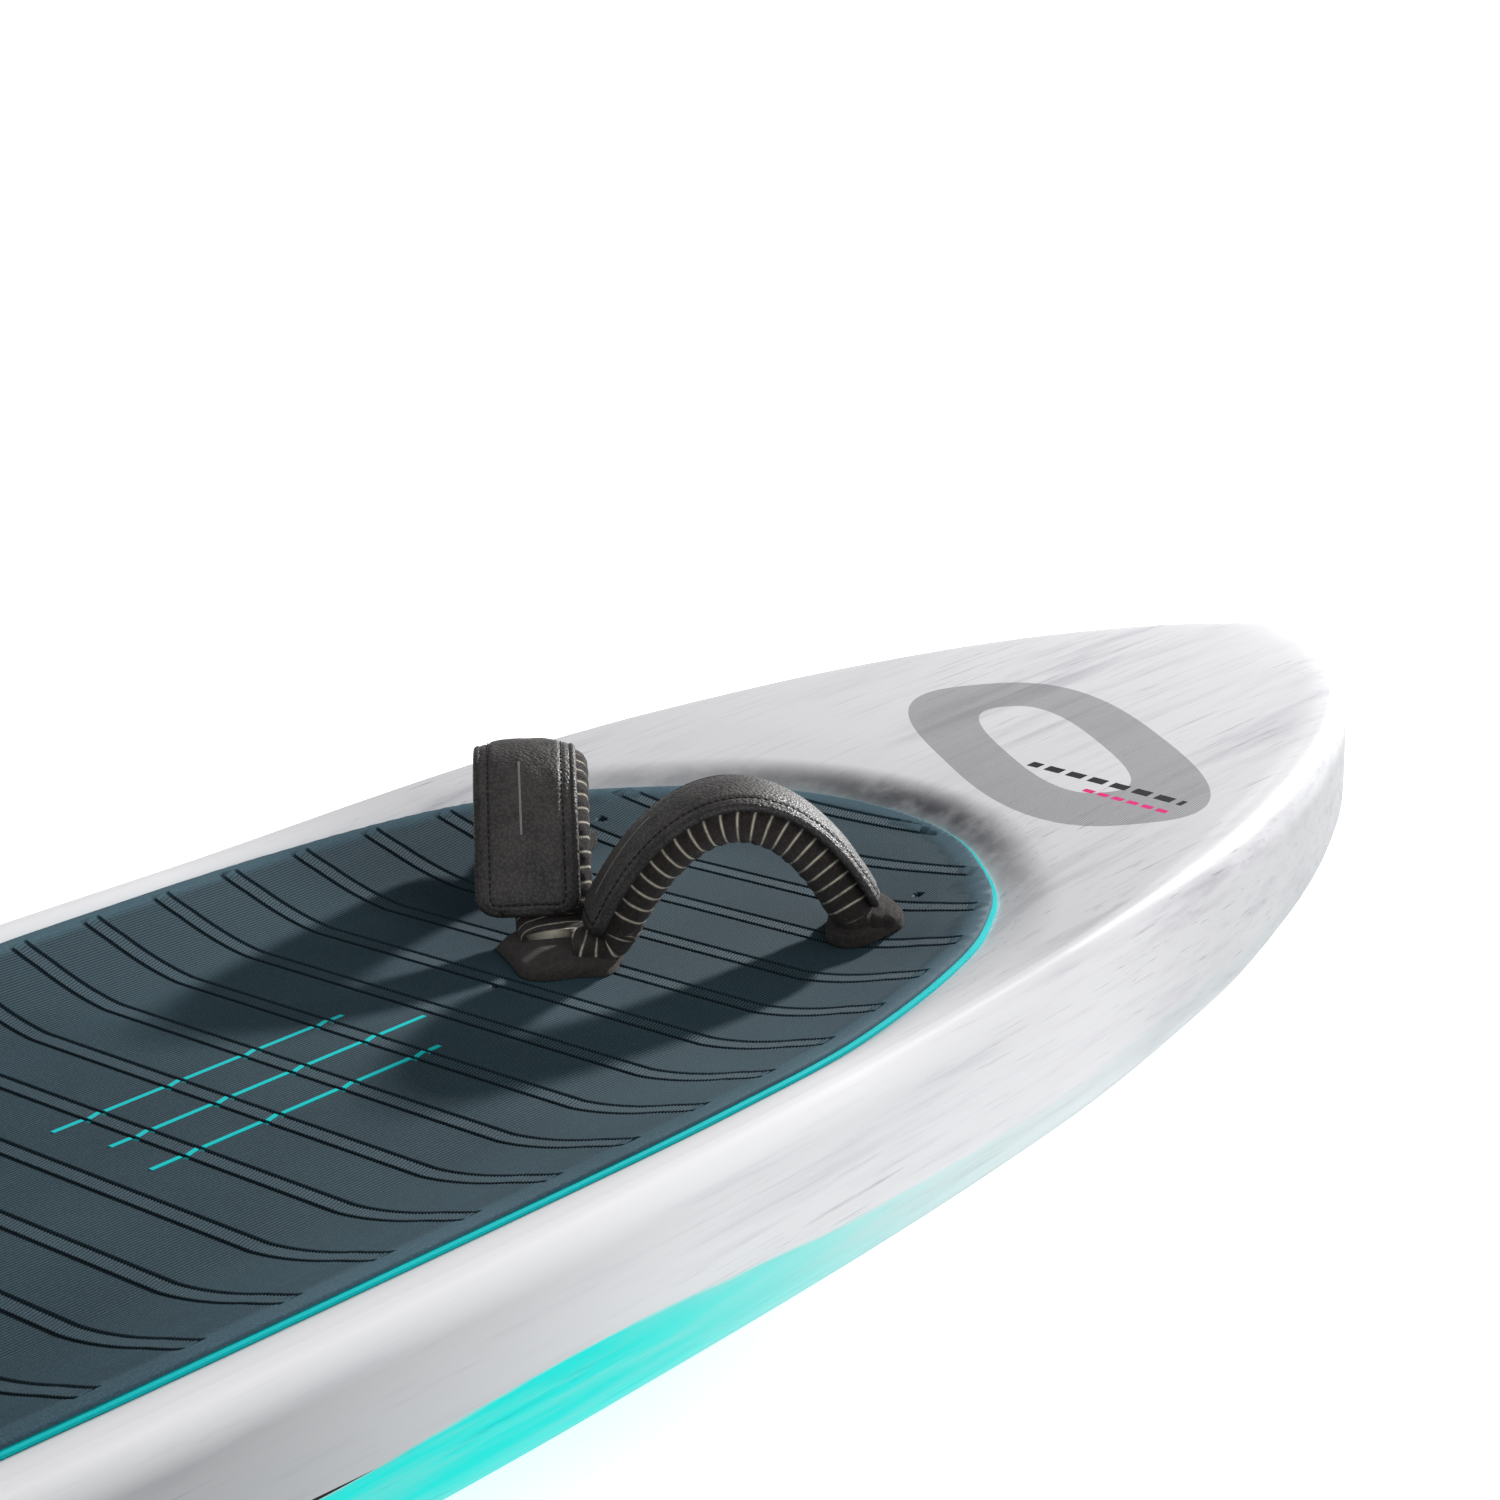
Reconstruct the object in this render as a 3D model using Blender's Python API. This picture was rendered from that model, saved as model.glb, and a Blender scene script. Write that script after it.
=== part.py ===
"""Foil-ready stand up paddleboard with a dished deck, a full-length grip pad and two front foot straps.

Frame: origin under the middle of the board on the plane it rests on, +X to the nose, +Y to port, +Z up.
All lengths are in metres.
"""
import math

import bpy
from mathutils import Matrix, Vector

# ---------------------------------------------------------------- driving dimensions
LENGTH = 2.130
NOSE_X = LENGTH / 2
FLAT_DECK_Z = 0.103          # top of the grip pad where the deck is flat
SKIN = 0.002                 # laminate thickness
GAP = 0.0003                 # clearance between pieces that touch
PAD_BASE = 0.0018            # coloured under-layer of the grip pad
PAD_TOP = 0.0024             # dark ribbed top layer
PAD_STACK = 2 * GAP + PAD_BASE + PAD_TOP

# Hull lines: (x, value) control points, joined by a smooth monotone curve.
OUTLINE = [(-1.0650, 0.142), (-1.0500, 0.163), (-1.0200, 0.176), (-0.9500, 0.192), (-0.8000, 0.219),
           (-0.6000, 0.245), (-0.3500, 0.268), (-0.1000, 0.2785), (0.0300, 0.2795), (0.1500, 0.2785),
           (0.3000, 0.2750), (0.5000, 0.2610), (0.6500, 0.2325), (0.8000, 0.1830), (0.9000, 0.1325),
           (0.9700, 0.0815), (1.0250, 0.0345), (1.0550, 0.0080), (1.0650, 0.0012)]
RAIL_TOP = [(-1.0650, 0.1020), (-0.9000, 0.1105), (-0.6000, 0.1200), (-0.2000, 0.1235), (0.1000, 0.1238),
            (0.3000, 0.1280), (0.4300, 0.1315), (0.6500, 0.1348), (0.8000, 0.1362), (0.9000, 0.1369),
            (0.9700, 0.1367), (1.0250, 0.1330), (1.0650, 0.1285)]
PAD_RIM = [(-1.0650, 0.0990), (-0.9000, 0.1090), (-0.6000, 0.1190), (-0.2000, 0.1225), (0.1000, 0.1225),
           (0.3000, 0.1260), (0.4800, 0.1275)]        # height of the pad's own top edge
BOTTOM = [(-1.0650, 0.0340), (-0.9000, 0.0160), (-0.7500, 0.0040), (-0.6400, 0.0), (0.1000, 0.0),
          (0.3000, 0.0055), (0.5000, 0.0195), (0.6500, 0.0305), (0.8000, 0.0395), (0.9000, 0.0456),
          (0.9700, 0.0500), (1.0250, 0.0533), (1.0650, 0.0554)]
STATIONS = [-1.065, -1.050, -1.010, -0.950, -0.860, -0.740, -0.640, -0.460, -0.280, -0.100,
            0.060, 0.160, 0.240, 0.310, 0.370, 0.425, 0.476, 0.515, 0.570, 0.650, 0.740, 0.830,
            0.910, 0.970, 1.020, 1.050, 1.065]
DECK_FRACTIONS = [0.0, 0.28, 0.52, 0.70, 0.83, 0.92, 1.0]

# Half-section of the rail: (inset from the widest line, height) with the height as a share measured
# down from the rail top ("top") or up from the bottom ("bottom").
RAIL_INSET = 0.013
RAIL_UPPER = [(0.0065, "top", 0.025), (0.0015, "top", 0.10), (0.0, "top", 0.30)]
PARTING_SHARE = 0.48
RAIL_LOWER = [(0.0, "bottom", 0.36), (0.002, "bottom", 0.22), (0.013, "bottom", 0.10),
              (0.038, "bottom", 0.025), (0.080, "bottom", 0.0)]
FULL_RAIL_WIDTH = 0.25       # half-width at which the rail has its full insets
LOWER_TUCK = [(-1.065, 1.35), (0.10, 1.35), (0.40, 1.0), (1.065, 1.0)]      # the lower rail is rounder aft
STRINGER_HALF = 0.0015
CORE_TIP_HALF = 0.012        # half-width at which the foam and the stringer stop short of the nose

# Grip pad outline, port half, from the nose end round to the tail end.
PAD_OUTLINE = [(0.476, 0.0), (0.473, 0.034), (0.464, 0.067), (0.448, 0.099), (0.424, 0.129),
               (0.377, 0.174), (0.330, 0.201), (0.290, 0.217), (0.236, 0.230), (0.180, 0.239),
               (0.126, 0.2445), (0.060, 0.246), (-0.060, 0.2445), (-0.350, 0.232), (-0.600, 0.210),
               (-0.800, 0.186), (-0.915, 0.166), (-0.942, 0.152), (-0.955, 0.125), (-0.955, 0.0)]
DISH_REACH = 0.095           # how far in from the pad's edge the deck still curves up
DISH_POWER = 1.8
RIM_RAMP = 0.038             # width of the ramp from the pad's edge up to the deck
NOSE_CROWN = 0.004

# Foot straps: both start at one shared screw on the centreline and end at an outer screw each.
INSERT_PITCH = 0.025
CENTRE_ROW_X = 0.124
OUTER_ROW_X = 0.287
OUTER_ROW_Y = 0.1275
HOLES_PER_ROW = 4
STRAP_INNER = (0.174, 0.0)
STRAP_OUTER = (0.312, OUTER_ROW_Y)
STRAPS = {"port": 1, "starboard": -1}
SCREWS = {"centre": STRAP_INNER, "port": STRAP_OUTER, "starboard": (STRAP_OUTER[0], -STRAP_OUTER[1])}
ARCH_MIDDLE = 0.105          # along the strap's line from the inner screw
ARCH_HALF_SPAN = 0.073
ARCH_FOOT = 0.010            # height of the tube's centre above the pad at the feet
ARCH_RISE = 0.071
ARCH_POWER = 1.7
STRAP_START = 0.016          # height above the pad at which the moving strap begins
STRAP_HINGE_Z = 0.116        # height of the line through its two feet that a strap leans about

TRACK_X = -0.430             # middle of the foil tracks
TRACK_Y = 0.045
TRACK_LENGTH = 0.300
NUT_X = 0.0825
HANDLE_X = -0.075
LEASH_X = -1.012
VENT_XY = (-1.004, 0.075)

# ---------------------------------------------------------------- scene and materials
for item in list(bpy.data.objects):
    bpy.data.objects.remove(item)


def material(name, colour, roughness, metallic=0.0):
    made = bpy.data.materials.new(name)
    made.use_nodes = True
    shader = made.node_tree.nodes["Principled BSDF"]
    shader.inputs["Base Color"].default_value = (*colour, 1.0)
    shader.inputs["Roughness"].default_value = roughness
    shader.inputs["Metallic"].default_value = metallic
    return made


PAINT_WHITE = material("white_paint", (0.80, 0.80, 0.83), 0.35)
PAINT_AQUA = material("aqua_paint", (0.02, 0.66, 0.62), 0.35)
FOAM = material("white_foam", (0.88, 0.88, 0.86), 0.8)
DENSE_FOAM = material("dense_foam", (0.72, 0.62, 0.38), 0.7)
PAULOWNIA = material("stringer_wood", (0.62, 0.47, 0.30), 0.6)
EVA_DARK = material("slate_eva", (0.045, 0.085, 0.110), 0.75)
EVA_AQUA = material("aqua_eva", (0.02, 0.62, 0.60), 0.7)
BLACK_PLASTIC = material("black_plastic", (0.02, 0.02, 0.022), 0.45)
STEEL = material("stainless_steel", (0.62, 0.62, 0.63), 0.28, 1.0)
BRASS = material("brass", (0.72, 0.53, 0.25), 0.35, 1.0)
KNIT = material("brown_knit", (0.055, 0.042, 0.040), 0.95)
LEATHER = material("grey_leather", (0.075, 0.070, 0.070), 0.6)
WEBBING = material("black_webbing", (0.02, 0.02, 0.02), 0.85)
MEMBRANE = material("vent_membrane", (0.85, 0.85, 0.85), 0.9)


def add_object(name, vertices, faces, skin_material, smooth=30.0):
    mesh = bpy.data.meshes.new(name)
    mesh.from_pydata([tuple(v) for v in vertices], [], faces)
    mesh.validate()
    mesh.materials.append(skin_material)
    made = bpy.data.objects.new(name, mesh)
    bpy.context.scene.collection.objects.link(made)
    if smooth:
        mesh.shade_smooth()
        mesh.set_sharp_from_angle(angle=math.radians(smooth))
    return made


def put_origin(made, point):
    """Moves a piece's origin to a point on its joint's axis and leaves the piece where it is."""
    made.data.transform(Matrix.Translation(-Vector(point)))
    made.location = point


def combine(target, other, operation):
    """Cuts other out of target, joins it on, or keeps what they share. other becomes a hidden helper."""
    other.hide_render = True
    other.display_type = "WIRE"
    boolean = target.modifiers.new(operation.lower() + "_" + other.name, "BOOLEAN")
    boolean.operation = operation
    boolean.object = other
    boolean.solver = "EXACT"


def cut(target, *cutters):
    for cutter in cutters:
        combine(target, cutter, "DIFFERENCE")


# ---------------------------------------------------------------- curves and hull surfaces
def smooth_value(points, x):
    """Monotone cubic through (x, value) points."""
    x = min(max(x, points[0][0]), points[-1][0])
    i = max(j for j in range(len(points) - 1) if points[j][0] <= x)
    slopes = [(b[1] - a[1]) / (b[0] - a[0]) for a, b in zip(points, points[1:])]

    def tangent(j):
        if j == 0 or j == len(points) - 1:
            return slopes[min(j, len(slopes) - 1)]
        before, after = slopes[j - 1], slopes[j]
        return 0.0 if before * after <= 0 else 2 * before * after / (before + after)

    (x0, y0), (x1, y1) = points[i], points[i + 1]
    step = x1 - x0
    t = (x - x0) / step
    return ((2 * t**3 - 3 * t**2 + 1) * y0 + (t**3 - 2 * t**2 + t) * step * tangent(i)
            + (3 * t**2 - 2 * t**3) * y1 + (t**3 - t**2) * step * tangent(i + 1))


def catmull_rom(points, steps):
    """Points along a smooth curve through the given ones."""
    ends = [points[0]] + list(points) + [points[-1]]
    made = []
    for p0, p1, p2, p3 in zip(ends, ends[1:], ends[2:], ends[3:]):
        for k in range(steps):
            t = k / steps
            made.append(tuple(0.5 * (2 * b + (c - a) * t + (2 * a - 5 * b + 4 * c - d) * t * t
                                     + (3 * b - a - 3 * c + d) * t**3)
                              for a, b, c, d in zip(p0, p1, p2, p3)))
    return made + [tuple(points[-1])]


def rail_top(x):
    return smooth_value(RAIL_TOP, x)


PAD_EDGE = catmull_rom(PAD_OUTLINE, 3)
PAD_EDGE_SEGMENTS = [(Vector(a), Vector(b)) for a, b in zip(PAD_EDGE, PAD_EDGE[1:])]


def depth_inside_pad(x, y):
    """Distance from (x, y) to the pad's edge: positive inside the pad, negative outside."""
    point = Vector((x, abs(y)))
    nearest = 10.0
    inside = False
    for a, b in PAD_EDGE_SEGMENTS:
        along = b - a
        t = min(max((point - a).dot(along) / along.length_squared, 0.0), 1.0)
        nearest = min(nearest, (point - a - along * t).length)
        if (a.x - x) * (b.x - x) <= 0 and a.x != b.x:
            inside = inside or point.y < a.y + (b.y - a.y) * (x - a.x) / (b.x - a.x)
    return nearest if inside else -nearest


def centre_height(x):
    """Pad-top height on the centreline before the dish curves up."""
    return FLAT_DECK_Z + max(0.0, x - 0.100) ** 2 / 8.0 - max(0.0, -0.450 - x) ** 2 / 32.0


def pad_height(x, y):
    """Height of the grip pad's top surface, carried on past its edge as a level rim."""
    depth = depth_inside_pad(x, y)
    centre = centre_height(min(x, PAD_OUTLINE[0][0]))
    edge = smooth_value(PAD_RIM, x)
    curve = max(0.0, 1 - max(depth, 0.0) / DISH_REACH) ** DISH_POWER
    return centre + (edge - centre) * curve


def deck_height(x, y):
    """Height of the hull's deck, which carries the pad in a shallow dish."""
    depth = depth_inside_pad(x, y)
    floor = pad_height(x, y) - PAD_STACK
    if depth >= 0:
        return floor
    crown = NOSE_CROWN * min(1.0, max(0.0, (x - 0.40) / 0.15)) * (1 - (y / smooth_value(OUTLINE, x)) ** 2)
    deck = rail_top(x) + max(0.0, crown)
    strip = smooth_value(OUTLINE, x) - RAIL_INSET - max((p[1] for p in PAD_EDGE if p[0] <= x), default=0.0)
    ramp = min(max(0.8 * strip, 0.016), RIM_RAMP)
    rise = math.sin(min(-depth / ramp, 1.0) * math.pi / 2)
    return floor + (deck - floor) * rise


def inner_x(x, inset):
    """Moves a station inwards so that an inner surface clears the nose and tail."""
    return x * (1 - (2.25 if x > 0 else 1.0) * inset / NOSE_X)


def rail_points(x, inset, entries):
    width = smooth_value(OUTLINE, x) - inset
    top = rail_top(x) - inset
    bottom = smooth_value(BOTTOM, x) + inset
    scale = min(width / FULL_RAIL_WIDTH, 1.0)
    tuck = smooth_value(LOWER_TUCK, x)
    depth = top - bottom
    points = []
    for shift, side, share in entries:
        if side == "top":
            points.append((width - shift * scale, top - share * depth))
        else:
            points.append((width - shift * scale * tuck, bottom + share * depth))
    return points


def upper_half(x, inset, split_drop=0.0):
    """Half-section from the centreline over the deck to the parting line, as (y, z)."""
    width = smooth_value(OUTLINE, x) - inset
    reach = width - RAIL_INSET * min(width / FULL_RAIL_WIDTH, 1.0)
    deck = [(f * reach, deck_height(x, f * reach) - inset) for f in DECK_FRACTIONS]
    deck[-1] = (reach, rail_top(x) - inset)
    return deck + rail_points(x, inset, RAIL_UPPER) + parting_point(x, inset, split_drop)


def parting_point(x, inset, drop):
    (y, z), = rail_points(x, inset, [(0.0, "bottom", PARTING_SHARE)])
    return [(y, z - drop)]


def lower_half(x, inset, split_drop=0.0):
    """Half-section from the parting line under the rail to the centreline."""
    lower = rail_points(x, inset, RAIL_LOWER)
    flat = lower[-1]
    return parting_point(x, inset, split_drop) + lower + [(flat[0] * 0.5, flat[1]), (0.0, flat[1])]


def split_quad(a, b, c, d, outward):
    """Two triangles of a quad whose corners a, b lie on one station and d, c on the next.

    Every layer of the hull is split from the inner corner of the rear station to the outer corner
    of the front one, so that layers a fraction of a millimetre apart never cross.
    """
    return [(a, b, c), (a, c, d)] if outward else [(a, b, d), (b, c, d)]


def grid_triangles(rows, columns, flip):
    """Triangles of a grid whose points are stored row by row, starboard to port."""
    faces = []
    for i in range(rows - 1):
        for j in range(columns - 1):
            a, b = i * columns + j, i * columns + j + 1
            pair = split_quad(a, b, b + columns, a + columns, outward=j >= columns // 2)
            faces += [face[::-1] for face in pair] if flip else pair
    return faces


def mirrored(half):
    """Whole section from starboard to port from a half that starts on the centreline."""
    return [(-y, z) for y, z in reversed(half[1:])] + half


def shell(name, half_section, skin_material, upper, split_drop):
    """A laminate shell: the hull's outer surface and the same surface one skin further in."""
    layers = []
    for inset in (0.0, SKIN):
        points = []
        for x in STATIONS:
            at = inner_x(x, inset)
            half = half_section(at, inset, split_drop)
            half = half if upper else list(reversed(half))
            points += [(at, y, z) for y, z in mirrored(half)]
        layers.append(points)
    rows = len(STATIONS)
    columns = len(layers[0]) // rows
    count = len(layers[0])
    outer = grid_triangles(rows, columns, flip=upper)
    inner = [tuple(count + v for v in reversed(face)) for face in outer]
    first = list(range(columns))
    last = [(rows - 1) * columns + j for j in range(columns)]
    tail_cap, nose_cap = (first, last[::-1]) if upper else (first[::-1], last)
    caps = [tuple(tail_cap), tuple(nose_cap)]
    caps += [tuple(count + v for v in reversed(cap)) for cap in caps]
    starboard = [i * columns for i in range(rows)]
    port = [i * columns + columns - 1 for i in range(rows)]
    loop = starboard + port[::-1]
    rim = []
    for a, b in zip(loop, loop[1:] + loop[:1]):
        rim.append((a, b, count + b, count + a) if not upper else (b, a, count + a, count + b))
    return add_object(name, layers[0] + layers[1], outer + inner + caps + rim, skin_material)


def loft(name, sections, skin_material, smooth=30.0, outward=None):
    """Closed body through closed sections that have the same number of points, with flat ends.

    outward, where given, says for each side of a section how its quads are split.
    """
    size = len(sections[0])
    vertices = [p for section in sections for p in section]
    faces = [tuple(reversed(range(size))), tuple(range(len(vertices) - size, len(vertices)))]
    for i in range(len(sections) - 1):
        for j in range(size):
            a, b = i * size + j, i * size + (j + 1) % size
            faces += split_quad(a, b, b + size, a + size, outward[j] if outward else True)
    return add_object(name, vertices, faces, skin_material, smooth)


def box(name, low, high, skin_material=FOAM):
    (x0, y0, z0), (x1, y1, z1) = low, high
    corners = [(x0, y0), (x1, y0), (x1, y1), (x0, y1)]
    return loft(name, [[(x, y, z) for x, y in corners] for z in (z0, z1)], skin_material, smooth=0)


def turned(name, profile, centre, skin_material, segments=20, axis="Z"):
    """Solid of revolution from a closed (radius, height) profile that runs up its outer side."""
    vertices, rings = [], []
    for radius, height in profile:
        if radius == 0:
            rings.append([len(vertices)] * segments)
            vertices.append((0, 0, height))
            continue
        rings.append([len(vertices) + k for k in range(segments)])
        for k in range(segments):
            turn = 2 * math.pi * k / segments
            vertices.append((radius * math.cos(turn), radius * math.sin(turn), height))
    faces = []
    for low, high in zip(rings, rings[1:] + rings[:1]):
        for k in range(segments):
            corners = [low[k], low[(k + 1) % segments], high[(k + 1) % segments], high[k]]
            face = [v for n, v in enumerate(corners) if v != corners[n - 1]]
            if len(set(face)) > 2:
                faces.append(tuple(face))
    if axis == "Y":
        vertices = [(x, -z, y) for x, y, z in vertices]
    placed = [(x + centre[0], y + centre[1], z + centre[2]) for x, y, z in vertices]
    return add_object(name, placed, faces, skin_material)


def rod(name, radius, low, high, centre, skin_material=FOAM, segments=12, axis="Z"):
    return turned(name, [(0, low), (radius, low), (radius, high), (0, high)], centre,
                  skin_material, segments, axis)


# ---------------------------------------------------------------- hull: skins, cores, stringer
def core_sections(side):
    inset = SKIN + GAP
    keep = STRINGER_HALF + GAP
    sections = []
    for x in STATIONS:
        at = inner_x(x, inset)
        if smooth_value(OUTLINE, at) - inset < CORE_TIP_HALF:
            continue
        half = upper_half(at, inset) + lower_half(at, inset)[1:]
        section = [(at, side * max(y, keep), z) for y, z in half]
        sections.append(section if side > 0 else section[::-1])
    return sections


def foam_core(name, side):
    """One half of the foam blank, beside the stringer and inside the laminate."""
    sections = core_sections(side)
    size = len(sections[0])
    over_deck = len(upper_half(0.0, 0.0)) - 1
    outward = [j < over_deck for j in range(size)]
    if side < 0:
        outward = [not outward[(size - 2 - j) % size] for j in range(size)]
    return loft(name, sections, FOAM, outward=outward)


def stringer():
    inset = SKIN + 2 * GAP
    half = STRINGER_HALF
    sections = []
    for x in STATIONS:
        at = inner_x(x, inset)
        if smooth_value(OUTLINE, at) - inset < CORE_TIP_HALF:
            continue
        top = deck_height(at, 0.0) - inset
        bottom = smooth_value(BOTTOM, at) + inset
        corners = [(half, top), (half, bottom), (-half, bottom), (-half, top)]
        sections.append([(at, y, z) for y, z in corners])
    return loft("stringer", sections, PAULOWNIA, smooth=0)


deck_skin = shell("deck_skin", upper_half, PAINT_WHITE, True, 0.0)
bottom_skin = shell("bottom_skin", lower_half, PAINT_AQUA, False, GAP)
core_port = foam_core("foam_core_port", 1)
core_starboard = foam_core("foam_core_starboard", -1)
stringer_web = stringer()
inner_pieces = (core_port, core_starboard, stringer_web)


# ---------------------------------------------------------------- grip pad
def deck_slab(name, low, high, skin_material):
    """Part of the deck's own surface, thickened between two heights above it."""
    stations = [x for x in STATIONS if -1.02 < x < 0.58]
    sections = []
    for x in stations:
        half = upper_half(x, 0.0)[:len(DECK_FRACTIONS)]
        row = mirrored(half)
        sections.append([(x, y, z + low) for y, z in row] + [(x, y, z + high) for y, z in reversed(row)])
    size = len(sections[0])
    columns = size // 2
    vertices = [p for section in sections for p in section]
    faces = []
    for i in range(len(sections) - 1):
        for j in range(columns - 1):
            outward = j >= columns // 2
            a, b = i * size + j, i * size + j + 1
            faces += [face[::-1] for face in split_quad(a, b, b + size, a + size, outward)]
            a, b = i * size + size - 1 - j, i * size + size - 2 - j
            faces += split_quad(a, b, b + size, a + size, outward)
        for j in (columns - 1, size - 1):
            a, b = i * size + j, i * size + (j + 1) % size
            faces.append((a, a + size, b + size, b))
    for i, turn in ((0, 1), (len(sections) - 1, -1)):
        for j in range(columns - 1):
            quad = [i * size + j, i * size + j + 1, i * size + size - 2 - j, i * size + size - 1 - j]
            faces.append(tuple(quad[::turn]))
    return add_object(name, vertices, [face[::-1] for face in faces], skin_material, 40.0)


def pad_prism(name, inset):
    """Upright prism of the pad's outline, drawn in by inset."""
    outline = [Vector(p) for p in PAD_EDGE]
    half = []
    for k, point in enumerate(outline):
        before, after = outline[max(k - 1, 0)], outline[min(k + 1, len(outline) - 1)]
        along = (after - before).normalized()
        half.append(point + Vector((along.y, -along.x)) * -inset)
    half = [Vector((p.x, max(p.y, 0.0))) for p in half]
    half[0].y = half[-1].y = 0.0
    ring = half + [Vector((p.x, -p.y)) for p in reversed(half[1:-1])]
    return loft(name, [[(p.x, p.y, z) for p in ring] for z in (0.05, 0.20)], FOAM)


STRIPES = {"port": (0.0377, -0.165, 0.038), "centre": (0.0, -0.159, 0.065), "starboard": (-0.0377, -0.165, 0.038)}
STRIPE_WIDTH = 0.003
BASE_SHOW = 0.0030           # how far the under-layer shows past the top layer

pad_base = deck_slab("pad_base", GAP, GAP + PAD_BASE, EVA_AQUA)
combine(pad_base, pad_prism("base_prism", 0.0), "INTERSECT")
deck_pad = deck_slab("deck_pad", 2 * GAP + PAD_BASE, PAD_STACK, EVA_DARK)
combine(deck_pad, pad_prism("pad_prism", BASE_SHOW), "INTERSECT")
for side, (y, start, end) in STRIPES.items():
    cut(deck_pad, box("stripe_slot_" + side, (start, y - STRIPE_WIDTH / 2, 0.09),
                      (end, y + STRIPE_WIDTH / 2, 0.12)))


KICK_HALF_WIDTH = 0.135
KICK_PROFILE = [(-0.845, 0.0025), (-0.875, 0.0115), (-0.900, 0.0205), (-0.915, 0.0225), (-0.925, 0.0175)]
KICK_SHARES = [-1.0, -0.94, -0.5, 0.0, 0.5, 0.94, 1.0]


def kick_pad():
    """Low wedge glued on the pad's tail end, for the back foot."""
    sections = []
    for x, rise in KICK_PROFILE:
        spots = [(share * KICK_HALF_WIDTH, min(1.0, (1.06 - abs(share)) / 0.12)) for share in KICK_SHARES]
        low = [(x, y, pad_height(x, y) - 0.004) for y, _ in spots]
        high = [(x, y, pad_height(x, y) + rise * fullness) for y, fullness in reversed(spots)]
        sections.append((low + high)[::-1])
    made = loft("kick_pad", sections, EVA_DARK)
    cut(made, pad_seat)


pad_seat = deck_slab("pad_seat", -0.010, PAD_STACK + GAP, FOAM)
kick_pad()


# ---------------------------------------------------------------- strap inserts and screws
def insert_block(name, x_first, y):
    """Threaded insert block bonded under the deck skin, with one hole per strap position."""
    x_last = x_first + (HOLES_PER_ROW - 1) * INSERT_PITCH
    x0, x1, y0, y1 = x_first - 0.014, x_last + 0.014, y - 0.014, y + 0.014
    drop = SKIN + 2 * GAP + 0.0012
    corners = [(x0, y0), (x1, y0), (x1, y1), (x0, y1)]
    top = [(px, py, deck_height(px, py) - drop) for px, py in corners]
    floor = min(p[2] for p in top) - 0.022
    made = loft(name, [[(px, py, floor) for px, py in corners], top], BLACK_PLASTIC, smooth=0)
    middle = ((x0 + x1) / 2, y)
    grown = [(px + math.copysign(GAP, px - middle[0]), py + math.copysign(GAP, py - middle[1]))
             for px, py in corners]
    pocket = loft("pocket_" + name, [[(*p, floor - GAP) for p in grown], [(*p, 0.16) for p in grown]], FOAM)
    cut(core_port, pocket)
    cut(core_starboard, pocket)
    cut(stringer_web, pocket)
    return made


inserts = {
    "strap_insert_centre": insert_block("strap_insert_centre", CENTRE_ROW_X, 0.0),
    "strap_insert_port": insert_block("strap_insert_port", OUTER_ROW_X, OUTER_ROW_Y),
    "strap_insert_starboard": insert_block("strap_insert_starboard", OUTER_ROW_X, -OUTER_ROW_Y),
}
SCREW_RADIUS = 0.003
HOLE_RADIUS = SCREW_RADIUS + GAP
for name, block in inserts.items():
    row_x = CENTRE_ROW_X if name.endswith("centre") else OUTER_ROW_X
    row_y = {"centre": 0.0, "port": OUTER_ROW_Y, "starboard": -OUTER_ROW_Y}[name.split("_")[-1]]
    for k in range(HOLES_PER_ROW):
        hole = rod("%s_hole_%d" % (name, k), HOLE_RADIUS, -0.024, 0.03,
                   (row_x + k * INSERT_PITCH, row_y, deck_height(row_x + k * INSERT_PITCH, row_y)), segments=8)
        for piece in (block, deck_skin, pad_base, deck_pad):
            cut(piece, hole)

TAB = 0.0025
WASHER = 0.0015
WASHER_RADIUS = 0.0095
TAB_LIFT = 0.0012
INNER_TAB = [(0.140, 0.002), (0.152, -0.021), (0.176, -0.036), (0.203, -0.027), (0.211, 0.000),
             (0.200, 0.027), (0.172, 0.038), (0.150, 0.024)]
OUTER_TAB = [(-0.034, 0.016), (-0.030, -0.022), (0.012, -0.025), (0.021, -0.016), (0.021, 0.016), (0.012, 0.025)]


def draped_tab(name, outline, centre):
    """Flat fabric end of a strap, lying on the pad."""
    ring = catmull_rom(outline + [outline[0]], 3)[:-1]
    area = sum(a[0] * b[1] - b[0] * a[1] for a, b in zip(ring, ring[1:] + ring[:1]))
    ring = ring if area > 0 else ring[::-1]
    count = len(ring)
    vertices = [(x, y, pad_height(x, y) - TAB) for x, y in ring + [centre]]
    vertices += [(x, y, pad_height(x, y) + TAB_LIFT + TAB) for x, y in ring + [centre]]
    top = count + 1
    faces = []
    for k in range(count):
        n = (k + 1) % count
        faces += [(n, k, count), (top + k, top + n, top + count), (k, n, top + n), (k, top + n, top + k)]
    made = add_object(name, vertices, faces, KNIT)
    cut(made, pad_seat)
    return made


STRAP_LINE = Vector(STRAP_OUTER) - Vector(STRAP_INNER)
STRAP_AHEAD = STRAP_LINE.normalized()


def along_strap(side, u, v):
    """Plan point u along a strap's line from the shared screw and v to its outer, tail-facing side."""
    point = Vector(STRAP_INNER) + STRAP_AHEAD * u + Vector((-STRAP_AHEAD.y, STRAP_AHEAD.x)) * v
    return Vector((point.x, point.y * side))


tabs = {"centre": draped_tab("strap_tab_centre", INNER_TAB, STRAP_INNER)}
for name, side in STRAPS.items():
    outline = [tuple(along_strap(side, STRAP_LINE.length + u, v)) for u, v in OUTER_TAB]
    tabs[name] = draped_tab("strap_tab_" + name, outline, SCREWS[name])

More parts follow.
